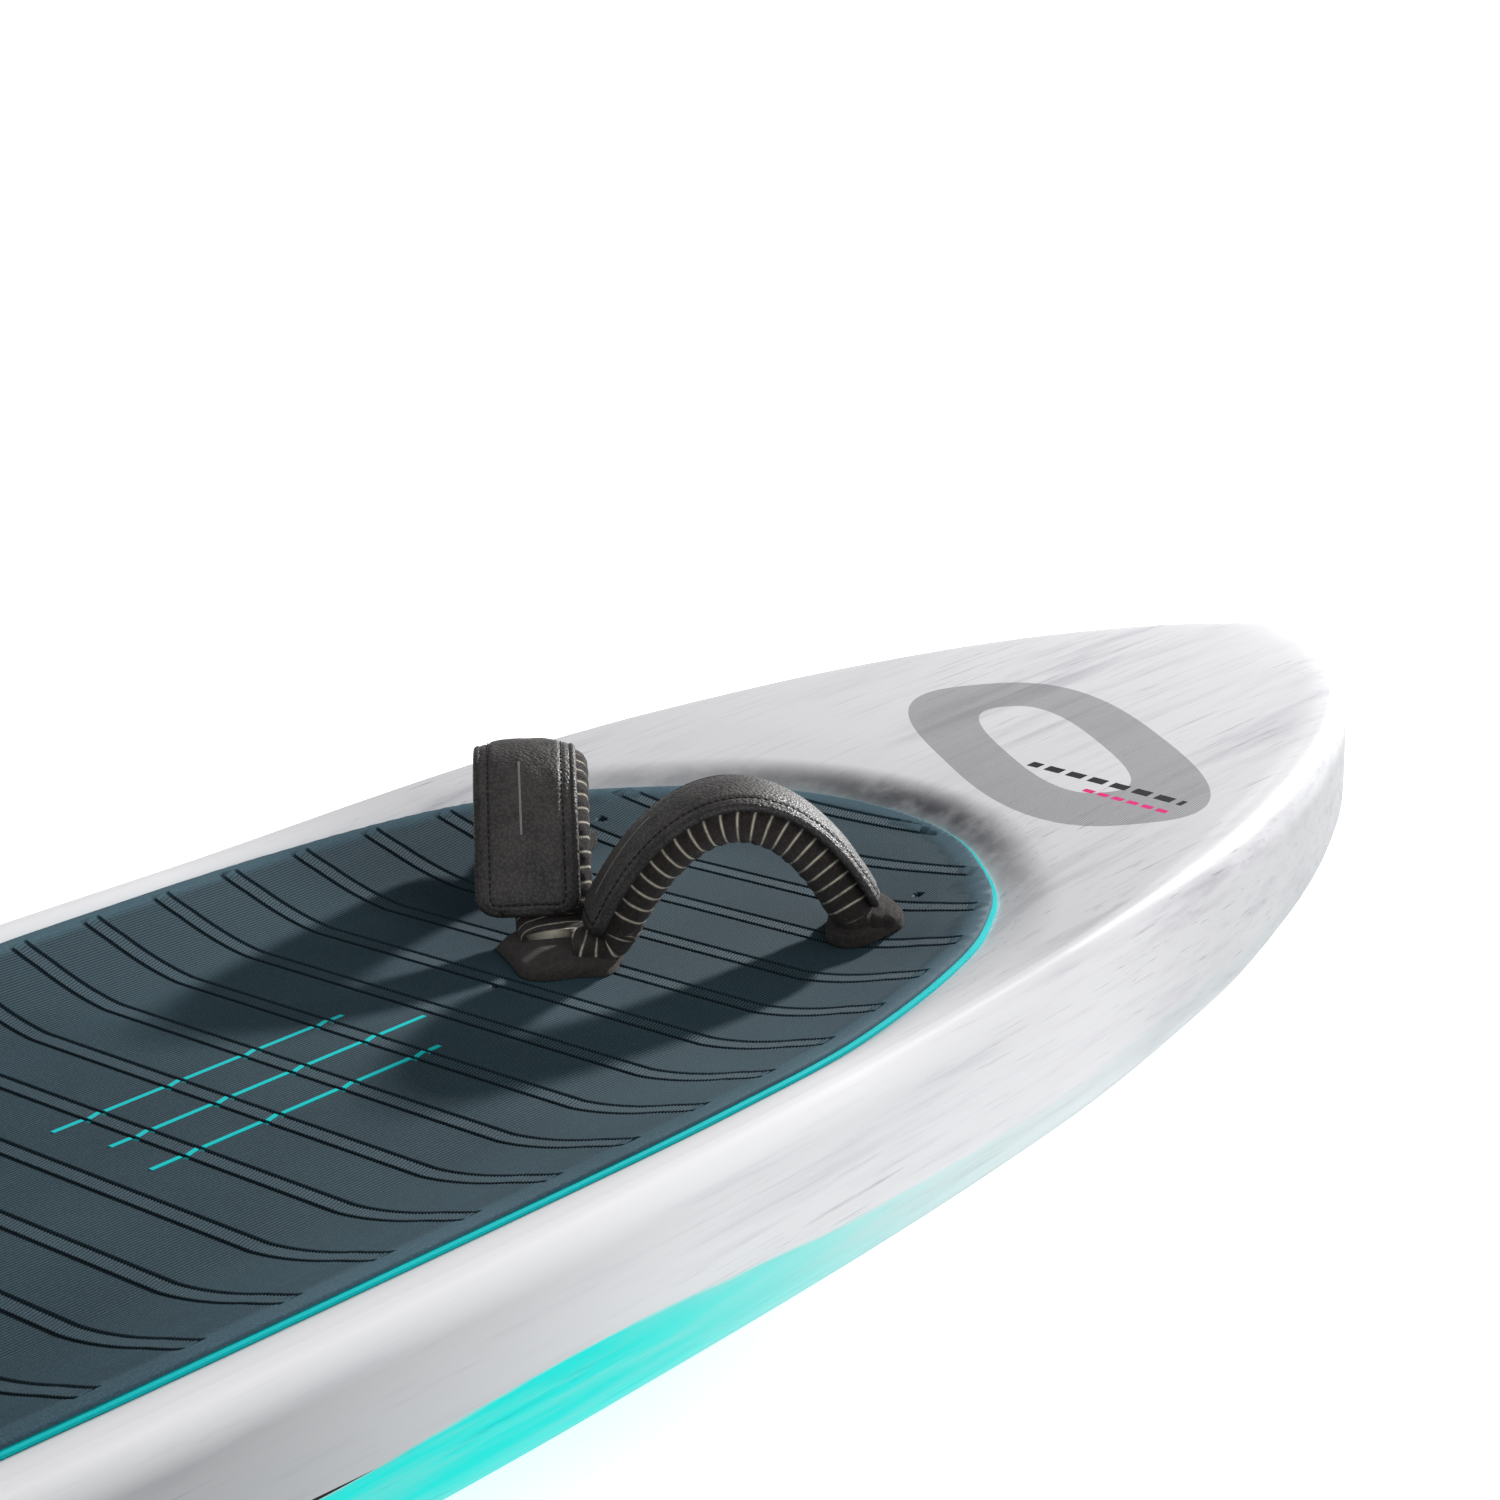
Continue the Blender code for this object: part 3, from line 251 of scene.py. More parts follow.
# -------------------- procedural materials
class Nodes:
    """Small helper for building a Principled material from nodes."""

    def __init__(self, name, roughness=0.5, metallic=0.0, **fixed):
        self.material = bpy.data.materials.new(name)
        self.material.use_nodes = True
        self.tree = self.material.node_tree
        self.shader = self.tree.nodes["Principled BSDF"]
        self.shader.inputs["Roughness"].default_value = roughness
        self.shader.inputs["Metallic"].default_value = metallic
        for key, value in fixed.items():
            self.shader.inputs[key.replace("_", " ")].default_value = value
        self.place = self.tree.nodes.new("ShaderNodeTexCoord").outputs["Object"]

    def put(self, socket, value):
        if isinstance(value, bpy.types.NodeSocket):
            self.tree.links.new(value, socket)
        elif value is not None:
            coloured = isinstance(value, tuple) and socket.type == "RGBA"
            socket.default_value = (*value, 1.0) if coloured else value

    def math(self, operation, a, b=None, c=None, clamp=False):
        node = self.tree.nodes.new("ShaderNodeMath")
        node.operation, node.use_clamp = operation, clamp
        for socket, value in zip(node.inputs, (a, b, c)):
            self.put(socket, value)
        return node.outputs[0]

    def value(self, name):
        node = self.tree.nodes.new("ShaderNodeAttribute")
        node.attribute_name = name
        return node.outputs["Fac"]

    def stretch(self, scale, turn=(0, 0, 0)):
        node = self.tree.nodes.new("ShaderNodeMapping")
        self.put(node.inputs["Vector"], self.place)
        node.inputs["Scale"].default_value = scale
        node.inputs["Rotation"].default_value = turn
        return node.outputs[0]

    def noise(self, scale, detail=3.0, roughness=0.5, place=None, distortion=0.0):
        node = self.tree.nodes.new("ShaderNodeTexNoise")
        self.put(node.inputs["Vector"], place or self.place)
        settings = {"Scale": scale, "Detail": detail, "Roughness": roughness, "Distortion": distortion}
        for key, setting in settings.items():
            node.inputs[key].default_value = setting
        return node.outputs["Fac"]

    def cells(self, scale):
        node = self.tree.nodes.new("ShaderNodeTexVoronoi")
        self.put(node.inputs["Vector"], self.place)
        node.inputs["Scale"].default_value = scale
        return node.outputs["Distance"]

    def range(self, value, low, high, to_low=0.0, to_high=1.0):
        node = self.tree.nodes.new("ShaderNodeMapRange")
        node.interpolation_type = "SMOOTHSTEP"
        for socket, setting in zip(node.inputs, (value, low, high, to_low, to_high)):
            self.put(socket, setting)
        return node.outputs["Result"]

    def mix(self, share, a, b):
        node = self.tree.nodes.new("ShaderNodeMix")
        node.data_type = "RGBA"
        self.put(node.inputs["Factor"], share)
        self.put(node.inputs[6], a)
        self.put(node.inputs[7], b)
        return node.outputs[2]

    def split(self, place=None):
        node = self.tree.nodes.new("ShaderNodeSeparateXYZ")
        self.put(node.inputs[0], place or self.place)
        return node.outputs

    def colour(self, value):
        self.put(self.shader.inputs["Base Color"], value)

    def roughness(self, value):
        self.put(self.shader.inputs["Roughness"], value)

    def bump(self, height, strength=0.3, distance=0.001):
        node = self.tree.nodes.new("ShaderNodeBump")
        node.inputs["Strength"].default_value = strength
        node.inputs["Distance"].default_value = distance
        self.put(node.inputs["Height"], height)
        self.put(self.shader.inputs["Normal"], node.outputs[0])


# The dark grey serves the scratches and also the painted shade ahead of the pad.
WHITE, LILAC, SCRATCH_AND_SHADE_GREY = (0.74, 0.74, 0.76), (0.47, 0.465, 0.51), (0.17, 0.17, 0.19)
AQUA, INK, PINK = (0.005, 0.72, 0.66), (0.012, 0.012, 0.014), (0.80, 0.02, 0.22)
# Along the board: height of the line where white meets aqua, strength of the aqua, and painted shade on the
# side.
PAINT_LINE = [(-1.065, 0.050), (-0.600, 0.054), (-0.265, 0.057), (-0.132, 0.061), (0.012, 0.054),
              (0.096, 0.048), (0.250, 0.046), (0.480, 0.058), (1.065, 0.075)]
AQUA_STRENGTH = [(-1.065, 1.0), (-0.12, 1.0), (0.05, 0.62), (0.18, 0.20), (0.34, 0.07), (0.60, 0.03),
                 (1.065, 0.0)]
SIDE_SHADE = [(-1.065, 0.74), (-0.40, 0.74), (-0.20, 0.42), (0.0, 0.10), (0.30, 0.08), (0.45, 0.30),
              (0.65, 0.62), (0.90, 0.82), (1.065, 0.86)]
FOOT_SHADE, FOOT_REACH = 0.80, 0.046      # painted shade, darker towards the hull's bottom edge
MARK_CENTRE, MARK_TURN = (0.622, -0.055), math.radians(52)


def printed_mark(n, paint):
    """Generic nose decal: a halftone ring with a dashed black line and a dashed pink line across it."""
    node = n.tree.nodes.new("ShaderNodeMapping")
    node.vector_type = "TEXTURE"
    n.put(node.inputs["Vector"], n.place)
    node.inputs["Location"].default_value = (*MARK_CENTRE, 0)
    node.inputs["Rotation"].default_value = (0, 0, MARK_TURN)
    ahead, aside, _ = n.split(node.outputs[0])
    x, y, height = n.split()

    def oval(half_ahead, half_aside):
        a = n.math("POWER", n.math("ABSOLUTE", n.math("DIVIDE", ahead, half_ahead)), 2.8)
        b = n.math("POWER", n.math("ABSOLUTE", n.math("DIVIDE", aside, half_aside)), 2.8)
        return n.math("ADD", a, b)

    def dashes(middle_x, middle_y, half_x, half_y, pitch):
        down = n.math("SUBTRACT", y, middle_y)
        across = n.math("SUBTRACT", n.math("SUBTRACT", x, middle_x), n.math("MULTIPLY", down, 0.095))
        inked = n.math("LESS_THAN", n.math("FRACT", n.math("DIVIDE", down, pitch)), 0.72)
        inside = n.math("MULTIPLY", n.math("LESS_THAN", n.math("ABSOLUTE", across), half_x),
                        n.math("LESS_THAN", n.math("ABSOLUTE", down), half_y))
        return n.math("MULTIPLY", inked, inside)

    ring = n.math("MULTIPLY", n.math("LESS_THAN", oval(0.168, 0.080), 1.0),
                  n.math("GREATER_THAN", oval(0.104, 0.034), 1.0))
    dots = n.math("MULTIPLY", n.math("SINE", n.math("MULTIPLY", ahead, 2800.0)),
                  n.math("SINE", n.math("MULTIPLY", aside, 2800.0)))
    above = n.math("GREATER_THAN", height, 0.128)
    printed = n.math("MULTIPLY", n.range(dots, -0.30, 0.10, 0.28, 0.84), above)
    paint = n.mix(n.math("MULTIPLY", ring, printed), paint, (0.17, 0.17, 0.175))
    black_line = dashes(0.575, -0.127, 0.0050, 0.063, 0.0180)
    pink_line = dashes(0.551, -0.155, 0.0030, 0.035, 0.0117)
    paint = n.mix(n.math("MULTIPLY", black_line, above), paint, INK)
    return n.mix(n.math("MULTIPLY", pink_line, above), paint, PINK)


def brushed_paint():
    """Brushed white lacquer with grey-lilac streaks, which turns turquoise below the paint line."""
    n = Nodes("brushed_white_paint", roughness=0.48, Specular_IOR_Level=0.12)
    streaks = n.noise(1.0, 8, 0.62, n.stretch((3.0, 46, 46), (0, 0, 0.035)))
    fine = n.noise(1.0, 6, 0.60, n.stretch((9.0, 190, 190), (0, 0, 0.05)))
    clouds = n.noise(2.6, 4, 0.5, n.stretch((1.0, 2.2, 2.2)))
    veil = n.math("MULTIPLY", n.range(streaks, 0.46, 0.74), n.range(clouds, 0.34, 0.68))
    hairlines = n.math("MULTIPLY", n.range(fine, 0.50, 0.80), 0.35)
    tone = n.math("ADD", n.math("MULTIPLY", veil, 0.85), hairlines, clamp=True)
    paint = n.mix(tone, WHITE, LILAC)
    scratches = n.noise(1.0, 4, 0.7, n.stretch((7.0, 320, 520), (0, 0, 0.02)))
    scratched = n.math("MULTIPLY", n.range(scratches, 0.58, 0.72), n.range(clouds, 0.38, 0.60, 0.0, 0.50))
    paint = n.mix(scratched, paint, SCRATCH_AND_SHADE_GREY)
    # Painted shade ahead of the pad's front: mottled dark grey on the slope that rises from the pad.
    mottled = n.range(n.noise(46, 5, 0.6), 0.32, 0.62, 0.55, 1.15)
    paint = n.mix(n.math("MULTIPLY", n.value("pad_front_shade"), mottled, clamp=True), paint, SCRATCH_AND_SHADE_GREY)
    # Painted highlight: near-white band on the rail's top beside the pad.
    paint = n.mix(n.value("strip"), paint, (0.98, 0.98, 1.0))
    # Painted shade: dark grey down the rail's side under the crest and towards the hull's bottom edge.
    paint = n.mix(n.value("shade"), paint, (0.20, 0.205, 0.215))
    # Painted tone of the crest's highlight: warm grey along the rail's crest towards the nose.
    paint = n.mix(n.math("MULTIPLY", n.value("crest_highlight_tone"), 0.8), paint, (0.60, 0.56, 0.52))
    paint = printed_mark(n, paint)
    wander = n.math("SUBTRACT", n.noise(1.0, 5, 0.6, n.stretch((16, 90, 260))), 0.5)
    ragged = n.math("MULTIPLY_ADD", wander, 0.0040, n.value("above_line"))
    below = n.math("SUBTRACT", 1.0, n.range(ragged, -0.0012, 0.0016))
    brushed = n.range(n.noise(1.0, 5, 0.6, n.stretch((7, 60, 150))), 0.30, 0.62, 0.80, 1.0)
    share = n.math("MULTIPLY", n.math("MULTIPLY", below, n.value("aqua")), brushed)
    aqua_paint = n.mix(n.range(fine, 0.55, 0.85), AQUA, (0.0, 0.44, 0.44))
    # Painted shade: the aqua darkens towards the hull's bottom edge.
    shaded_aqua = n.mix(n.math("MULTIPLY", n.value("foot"), 0.6), aqua_paint, (0.0, 0.20, 0.22))
    paint = n.mix(share, paint, shaded_aqua)
    pinstripe = n.math("MULTIPLY", n.math("GREATER_THAN", n.value("above_line"), 0.0),
                       n.math("LESS_THAN", n.value("above_line"), n.value("pinline")))
    n.colour(n.mix(pinstripe, paint, (0.004, 0.004, 0.005)))
    n.roughness(n.range(fine, 0.3, 0.8, 0.42, 0.58))
    n.bump(fine, 0.05, 0.0006)
    return n.material


def pad_foam(name, base, light, rough=0.78, shaded=False):
    """Closed-cell foam with fine speckle and faint clouds. Shaded foam is darkened by painted shade, read
    from a per-vertex attribute that is high in rib valleys, groove floors and open holes.
    """
    n = Nodes(name, roughness=rough, Specular_IOR_Level=0.25)
    speckle = n.noise(900, 2, 0.6)
    clouds = n.noise(7, 3, 0.5)
    tone = n.math("ADD", n.range(speckle, 0.35, 0.75, 0.0, 0.55), n.range(clouds, 0.3, 0.7, 0.0, 0.45))
    foam = n.mix(tone, base, light)
    # Painted shade: near black where the per-vertex shade is high.
    n.colour(n.mix(n.value("valley_shade"), foam, (0.004, 0.009, 0.014)) if shaded else foam)
    n.bump(speckle, 0.18, 0.0004)
    return n.material


def leather(name="pebbled_leather", dark=(0.040, 0.037, 0.036), light=(0.105, 0.098, 0.095)):
    n = Nodes(name, roughness=0.52, Specular_IOR_Level=0.45)
    pebbles = n.cells(520)
    creases = n.noise(60, 4, 0.6)
    tone = n.math("ADD", n.range(pebbles, 0.1, 0.75, 0.0, 0.55), n.range(creases, 0.35, 0.7, 0, 0.45))
    n.colour(n.mix(tone, light, dark))
    n.roughness(n.range(pebbles, 0.1, 0.8, 0.42, 0.66))
    n.bump(n.math("MULTIPLY", pebbles, -1.0), 0.60, 0.0009)
    return n.material


def plain(name, colour, second, roughness, scale=300, metallic=0.0, strength=0.1, stretch=(1, 1, 1)):
    """A moulded, cast or brushed surface with a fine grain."""
    n = Nodes(name, roughness=roughness, metallic=metallic)
    grain = n.noise(scale, 4, 0.6, n.stretch(stretch))
    n.colour(n.mix(n.range(grain, 0.3, 0.7), colour, second))
    n.roughness(n.range(grain, 0.3, 0.7, roughness - 0.06, roughness + 0.06))
    n.bump(grain, strength, 0.0004)
    return n.material


PAINT = brushed_paint()
# The slate foam carries painted shade in its rib valleys, groove floors and open holes.
SLATE = pad_foam("slate_pad_foam", (0.050, 0.112, 0.152), (0.112, 0.215, 0.268), shaded=True)
AQUA_FOAM = pad_foam("aqua_pad_foam", (0.0, 0.66, 0.68), (0.0, 0.74, 0.75), 0.75)
LEATHER = leather()
PIPING = leather("piping_leather", (0.020, 0.018, 0.018), (0.056, 0.052, 0.050))
THREAD = plain("black_thread", (0.006, 0.006, 0.006), (0.02, 0.02, 0.02), 0.8, 2500, strength=0.4)
SILVER = plain("silver_print", (0.26, 0.25, 0.24), (0.36, 0.35, 0.33), 0.55, 1500)
BLACK = plain("moulded_black", (0.010, 0.010, 0.011), (0.022, 0.022, 0.024), 0.46, 700, strength=0.15)
STEEL = plain("stainless_steel", (0.55, 0.55, 0.56), (0.68, 0.68, 0.69), 0.28, 900, 1.0, 0.05, (1, 12, 1))
BRASS = plain("brass", (0.62, 0.42, 0.16), (0.75, 0.55, 0.25), 0.34, 900, 1.0, 0.05)
FOAM = plain("white_foam_core", (0.80, 0.80, 0.78), (0.90, 0.90, 0.88), 0.85, 260, strength=0.4)
BLOCK = plain("dense_foam_block", (0.60, 0.50, 0.28), (0.74, 0.64, 0.40), 0.75, 300, strength=0.3)
WOOD = plain("stringer_wood", (0.45, 0.31, 0.18), (0.66, 0.50, 0.32), 0.6, 60, strength=0.2,
             stretch=(0.1, 4, 4))
WEBBING = plain("black_webbing", (0.008, 0.008, 0.008), (0.03, 0.03, 0.03), 0.85, 1200, strength=0.5)
MEMBRANE = plain("vent_membrane", (0.75, 0.75, 0.75), (0.88, 0.88, 0.88), 0.9, 1500)

# -------------------- painted hull
ROWS = 520
NOSE_ROUNDING = 0.004        # length over which the outline closes at the tip of the nose


def hull_edge():
    """The widest line from the nose to the transom's middle, its points closest together at the nose."""
    length = NOSE_X - TRANSOM[0][0]
    x = NOSE_X - length * (1 - np.cos(np.linspace(0, math.pi / 2, 400)))
    half = line_value(OUTLINE, x) * np.minimum(1.0, np.sqrt(np.maximum(0.0, (NOSE_X - x) / NOSE_ROUNDING)))
    return np.concatenate([np.stack([x, half], 1), smooth_path(TRANSOM, 12)[1:]])


HULL_EDGE = hull_edge()


def hull_rows():
    """Matching rows on the pad's edge and on the widest line, from the nose round to the tail."""
    anchors = [(PAD_EDGE[0, 0], NOSE_X), (0.180, 0.215), (-0.350, -0.350), (-0.800, -0.830),
               (-0.935, -1.030)]
    pad_share = [0.0] + [share_at_x(PAD_EDGE, a) for a, _ in anchors[1:]] + [1.0]
    hull_share = [0.0] + [share_at_x(HULL_EDGE, b) for _, b in anchors[1:]] + [1.0]
    shares = np.linspace(0, 1, ROWS)
    on_hull = line_value(list(zip(pad_share, hull_share)), shares)
    return along(PAD_EDGE, shares), along(HULL_EDGE, on_hull)


PAD_ROW, HULL_ROW = hull_rows()


def outward_normals(path):
    run = np.gradient(path, axis=0)
    normal = np.stack([-run[:, 1], run[:, 0]], 1)
    normal /= np.maximum(np.linalg.norm(normal, axis=1, keepdims=True), 1e-9)
    normal = -normal if normal[len(normal) // 2, 1] < 0 else normal
    normal[0], normal[-1] = (1, 0), (-1, 0)
    return normal


HULL_NORMAL = outward_normals(HULL_ROW)
RAIL_SCALE = np.minimum(line_value(OUTLINE, HULL_ROW[:, 0]) / FULL_RAIL_WIDTH, 1.0)


def rail_columns(profile, steps):
    """Columns of a rail profile for every row, port side: shape (rows, columns, 3)."""
    shape = smooth_path(profile, steps)
    tuck = LOWER_TUCK if profile is LOWER_RAIL else UPPER_TUCK
    scale = RAIL_SCALE * line_value(tuck, HULL_ROW[:, 0])
    inset = shape[None, :, 0] * scale[:, None]
    upright = np.clip((-HULL_ROW[:, :1] - 1.03) / 0.03, 0, 1)      # the transom stands nearly upright
    plan = HULL_ROW[:, None] - HULL_NORMAL[:, None] * inset[..., None]
    plan[..., 0] = HULL_ROW[:, :1] - HULL_NORMAL[:, :1] * inset * (1 - 0.88 * upright)
    beside = line_value(OUTLINE, plan[..., 0]) - inset
    plan[..., 1] = np.where(upright > 0, np.minimum(plan[..., 1], beside), plan[..., 1])
    plan[..., 1] = np.maximum(plan[..., 1], 0.0)
    top = line_value(RAIL_TOP, plan[..., 0])
    height = top - (top - line_value(BOTTOM, plan[..., 0])) * shape[None, :, 1]
    return np.concatenate([plan, height[..., None]], 2)


def deck_columns(crest):
    """Columns over the deck from the pad's edge to the rail's top edge, closest together at the pad."""
    run = crest[:, :2] - PAD_ROW
    length = np.linalg.norm(run, axis=1)
    near = np.minimum(0.045, 0.6 * length)
    steps = [near * k / 12 for k in range(12)] + [near + (length - near) * k / 20 for k in range(21)]
    shares = np.stack(steps, 1) / length[:, None]
    plan = PAD_ROW[:, None] + run[:, None] * shares[..., None]
    height = deck_height(plan[..., 0], plan[..., 1])
    height[:, -1] = crest[:, 2]
    return np.concatenate([plan, height[..., None]], 2)


def mirrored(columns):
    return columns[:, ::-1] * np.array([1, -1, 1])


def paint_values(points):
    """Per-vertex values that the paint reads: painted shade ahead of the pad's front and down the rail's
    side, a painted highlight and a painted warm crest tone along the rail's top, and the aqua lower rail.
    """
    x, y, z = points.reshape(-1, 3).T
    outside = -depth_inside_pad(x, y)
    # Painted shade ahead of the pad's front, strongest towards starboard and about 12 mm out from the pad's
    # edge.
    front = np.clip((x - 0.33) / 0.10, 0, 1)
    strength = 0.36 + 0.50 * np.exp(-(((y + 0.050) / 0.100) ** 2))
    pad_front_shade = front * strength * np.exp(-(((outside - 0.012) / 0.014) ** 2)) * (outside > 0)
    # Painted shade down the rail's side under the crest, and painted shade towards the hull's bottom edge.
    under_crest = line_value(RAIL_TOP, x) - z
    shade = np.clip((under_crest - 0.003) / 0.020, 0, 1) * line_value(SIDE_SHADE, x)
    foot = np.clip(1 - (z - line_value(BOTTOM, x)) / FOOT_REACH, 0, 1) ** 1.4 * FOOT_SHADE
    shade = 1 - (1 - shade) * (1 - foot)
    # Painted highlight: near-white band on the rail's top beside the pad, aft of the nose.
    strip = (outside > 0.004) * (x < 0.30) * np.clip(1 - under_crest / 0.020, 0, 1)
    # Painted tone of the crest's highlight, on the crest towards the nose, away from the pad.
    on_crest = np.exp(-(((under_crest - 0.003) / 0.007) ** 2))
    crest_highlight_tone = np.clip((x - 0.25) / 0.3, 0, 1) * on_crest * (outside < -0.03)
    return {"pad_front_shade": pad_front_shade, "above_line": z - line_value(PAINT_LINE, x),
            "aqua": line_value(AQUA_STRENGTH, x), "shade": shade, "foot": foot, "crest_highlight_tone": crest_highlight_tone,
            "strip": strip * np.clip((0.30 - x) / 0.2, 0, 1),
            "pinline": np.clip((-0.245 - x) * 0.045, 0, 0.005)}


def hull_upper():
    rail = rail_columns(UPPER_RAIL, 6)
    deck = deck_columns(rail[:, 0])
    shares = np.linspace(1, -1, 25)[1:-1]
    plan = np.stack([np.repeat(PAD_ROW[:, :1], len(shares), 1), PAD_ROW[:, 1:] * shares], 2)
    under = np.concatenate([plan, deck_height(plan[..., 0], plan[..., 1] * 0.999)[..., None]], 2)
    port = np.concatenate([deck, rail[:, 1:]], 1)
    rows = np.concatenate([port[:, ::-1], under, mirrored(port)[:, ::-1]], 1)
    faces = grid_faces(*rows.shape[:2], wrap_columns=True)
    return new_piece("painted_deck", rows.reshape(-1, 3), faces, PAINT, colours=paint_values(rows))


def hull_lower():
    rail = rail_columns(LOWER_RAIL, 6)
    keel = np.stack([np.clip(HULL_ROW[:, 0], -1.040, 1.055), np.zeros(ROWS)], 1)
    last = rail[:, -1, :2]
    shares = np.linspace(0, 1, 10)[1:]
    plan = last[:, None] + (keel - last)[:, None] * shares[None, :, None]
    flat = np.concatenate([plan, line_value(BOTTOM, plan[..., 0])[..., None]], 2)
    port = np.concatenate([rail, flat], 1)
    rows = np.concatenate([port, mirrored(port)[:, 1:]], 1)
    faces = grid_faces(*rows.shape[:2], wrap_columns=True)
    return new_piece("painted_bottom", rows.reshape(-1, 3), faces, PAINT, colours=paint_values(rows))


def node_plan(node, grow=0.0004):
    """Plan rectangle of a CAD node, grown a little."""
    (x0, y0, _), (x1, y1, _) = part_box(node)
    return [(x0 - grow, y0 - grow), (x1 + grow, y0 - grow), (x1 + grow, y1 + grow), (x0 - grow, y1 + grow)]


def node_centre(node):
    low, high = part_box(node)
    return [(a + b) / 2 for a, b in zip(low, high)]


upper = hull_upper()
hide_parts("deck_skin", "foam_core_port", "foam_core_starboard")
lower = hull_lower()
for side in ("port", "starboard"):
    boolean_cut(lower, prism(node_plan("mast_track_" + side), -0.02, 0.0265))
cup = node_centre("handle_cup")
cup_low, cup_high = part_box("handle_cup")
cup_half = ((cup_high[0] - cup_low[0]) / 2 + 0.0003, (cup_high[1] - cup_low[1]) / 2 + 0.0003)
boolean_cut(lower, prism(rounded_rectangle(cup[:2], cup_half, 0.020), -0.02, 0.048))
for node, radius, deep in (("leash_plug", 0.0168, 0.030), ("vent_body", 0.0103, 0.022)):
    spot = node_centre(node)
    boolean_cut(upper, prism(circle(spot[:2], radius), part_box(node)[1][2] - deep, 0.2))
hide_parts("bottom_skin")

# -------------------- ribbed deck pad
RIB_PITCH, RIB_HEIGHT = 0.0022, 0.0006
PAIR_PITCH, PAIR_FIRST, PAIR_SPACING = 0.0537, -0.1920, 0.0115
PAIR_RANGE = range(-13, 13)
GROOVE_WIDTH, GROOVE_DEPTH = 0.0033, 0.0018
BASE_SHOW = 0.0027           # width of the turquoise layer that shows round the pad
RIM, GROOVE_STOP = 0.010, 0.0085      # how far inside the edge the ribs and the grooves begin
HOLE_DEPTH = 0.0021
STRIPES = [(0.0377, -0.165, 0.038), (0.0, -0.159, 0.065), (-0.0377, -0.165, 0.038)]
STRIPE_HALF = 0.0015
HOLE_RADIUS = 0.0033
OPEN_HOLES = [(0.124, 0.0), (0.362, 0.1275), (0.362, -0.1275)]


def inset_edge(inset):
    """The pad's edge drawn in by inset, nose to tail, as (x, half-width)."""
    run = np.gradient(PAD_EDGE, axis=0)
    normal = np.stack([run[:, 1], -run[:, 0]], 1)
    normal /= np.linalg.norm(normal, axis=1, keepdims=True)
    normal = normal if normal[len(normal) // 2, 1] > 0 else -normal
    normal[0], normal[-1] = (1, 0), (-1, 0)
    path = PAD_EDGE - normal * inset
    path[:, 1] = np.maximum(path[:, 1], 0)
    return path


def width_on(path, x):
    return np.interp(-x, -path[:, 0], path[:, 1])


def pad_columns():
    half = np.arange(0, 0.25, RIB_PITCH / 2)
    return np.concatenate([-half[:0:-1], half])


def pad_rows(path):
    """Row positions along the pad: the walls of every groove pair, a few between, and more at the ends."""
    wall = 0.0003
    marks = []
    for k in PAIR_RANGE:
        centre = PAIR_FIRST + PAIR_PITCH * k
        outer = (PAIR_SPACING + GROOVE_WIDTH) / 2
        marks += [centre - outer, centre - outer + wall, centre + outer - wall, centre + outer]
        marks += [centre + outer + (PAIR_PITCH - 2 * outer) * t for t in (1 / 3, 2 / 3)]
    for hole_x in sorted({x for x, _ in OPEN_HOLES}):
        marks += [hole_x + HOLE_RADIUS * t for t in np.linspace(-1.1, 1.1, 9)]
    nose, tail = path[0, 0], path[-1, 0]
    marks += [nose - 0.060 * t**2 for t in np.linspace(0, 1, 22)]
    marks += [tail + 0.045 * t**2 for t in np.linspace(0, 1, 16)]
    marks = sorted(m for m in marks if tail <= m <= nose)
    kept = [marks[0]]
    for mark in marks[1:]:
        if mark - kept[-1] > 0.00012:
            kept.append(mark)
    return np.array(kept)


def ribs(y):
    """Triangle wave across the board, 0 in the valleys and 1 on the ribs."""
    phase = np.mod(y / RIB_PITCH, 1.0)
    return 1 - 2 * np.abs(phase - 0.5)


def in_pair(x):
    """Whether x lies in the trench that holds a pair of grooves and the strip between them."""
    half = (PAIR_SPACING + GROOVE_WIDTH) / 2
    offset = np.mod(x - PAIR_FIRST + PAIR_PITCH / 2, PAIR_PITCH) - PAIR_PITCH / 2
    last = PAIR_FIRST + PAIR_PITCH * (PAIR_RANGE[-1] + 0.5)
    first = PAIR_FIRST + PAIR_PITCH * (PAIR_RANGE[0] - 0.5)
    return (np.abs(offset) < half - 0.0002) & (x < last) & (x > first)


def pad_sheet(name, path, material, low, high, columns, rows, relief, valley_shade=None):
    """Closed sheet on the deck, cut to the outline by drawing its outer columns in to it."""
    reach = width_on(path, rows)

    def side(at, height, shape):
        y = np.clip(at[None, :], -reach[:, None], reach[:, None])
        x = np.repeat(rows[:, None], len(at), 1)
        depth = depth_inside_pad(x, y)
        return np.stack([x, y, pad_height(x, y, depth) - PAD_STACK + height + shape(x, y, depth)], 2)

    under = side(np.linspace(-0.25, 0.25, 41), low, lambda x, y, depth: 0 * x)
    ring = np.concatenate([side(columns, high, relief), under[:, ::-1]], 1)
    count = ring.shape[1]
    faces = grid_faces(len(rows), count, wrap_columns=True)
    # Painted shade per vertex, when a shade function is given.
    colours = {"valley_shade": valley_shade(ring[..., 0], ring[..., 1]).ravel()} if valley_shade else {}
    return new_piece(name, ring.reshape(-1, 3), faces, material, merge=2e-5, sharp=50, colours=colours)


def top_relief(x, y, depth):
    inner = depth - BASE_SHOW
    ribbed = np.clip((inner - RIM) / 0.004, 0, 1)
    shape = (ribs(y) - 1) * RIB_HEIGHT * ribbed
    groove = in_pair(x) & (inner > GROOVE_STOP)
    shape = np.where(groove, -GROOVE_DEPTH, shape)
    shape = np.where(in_hole(x, y), -HOLE_DEPTH, shape)
    edge = np.clip(inner / 0.0008, 0, 1)
    return shape - 0.0006 * (1 - edge)


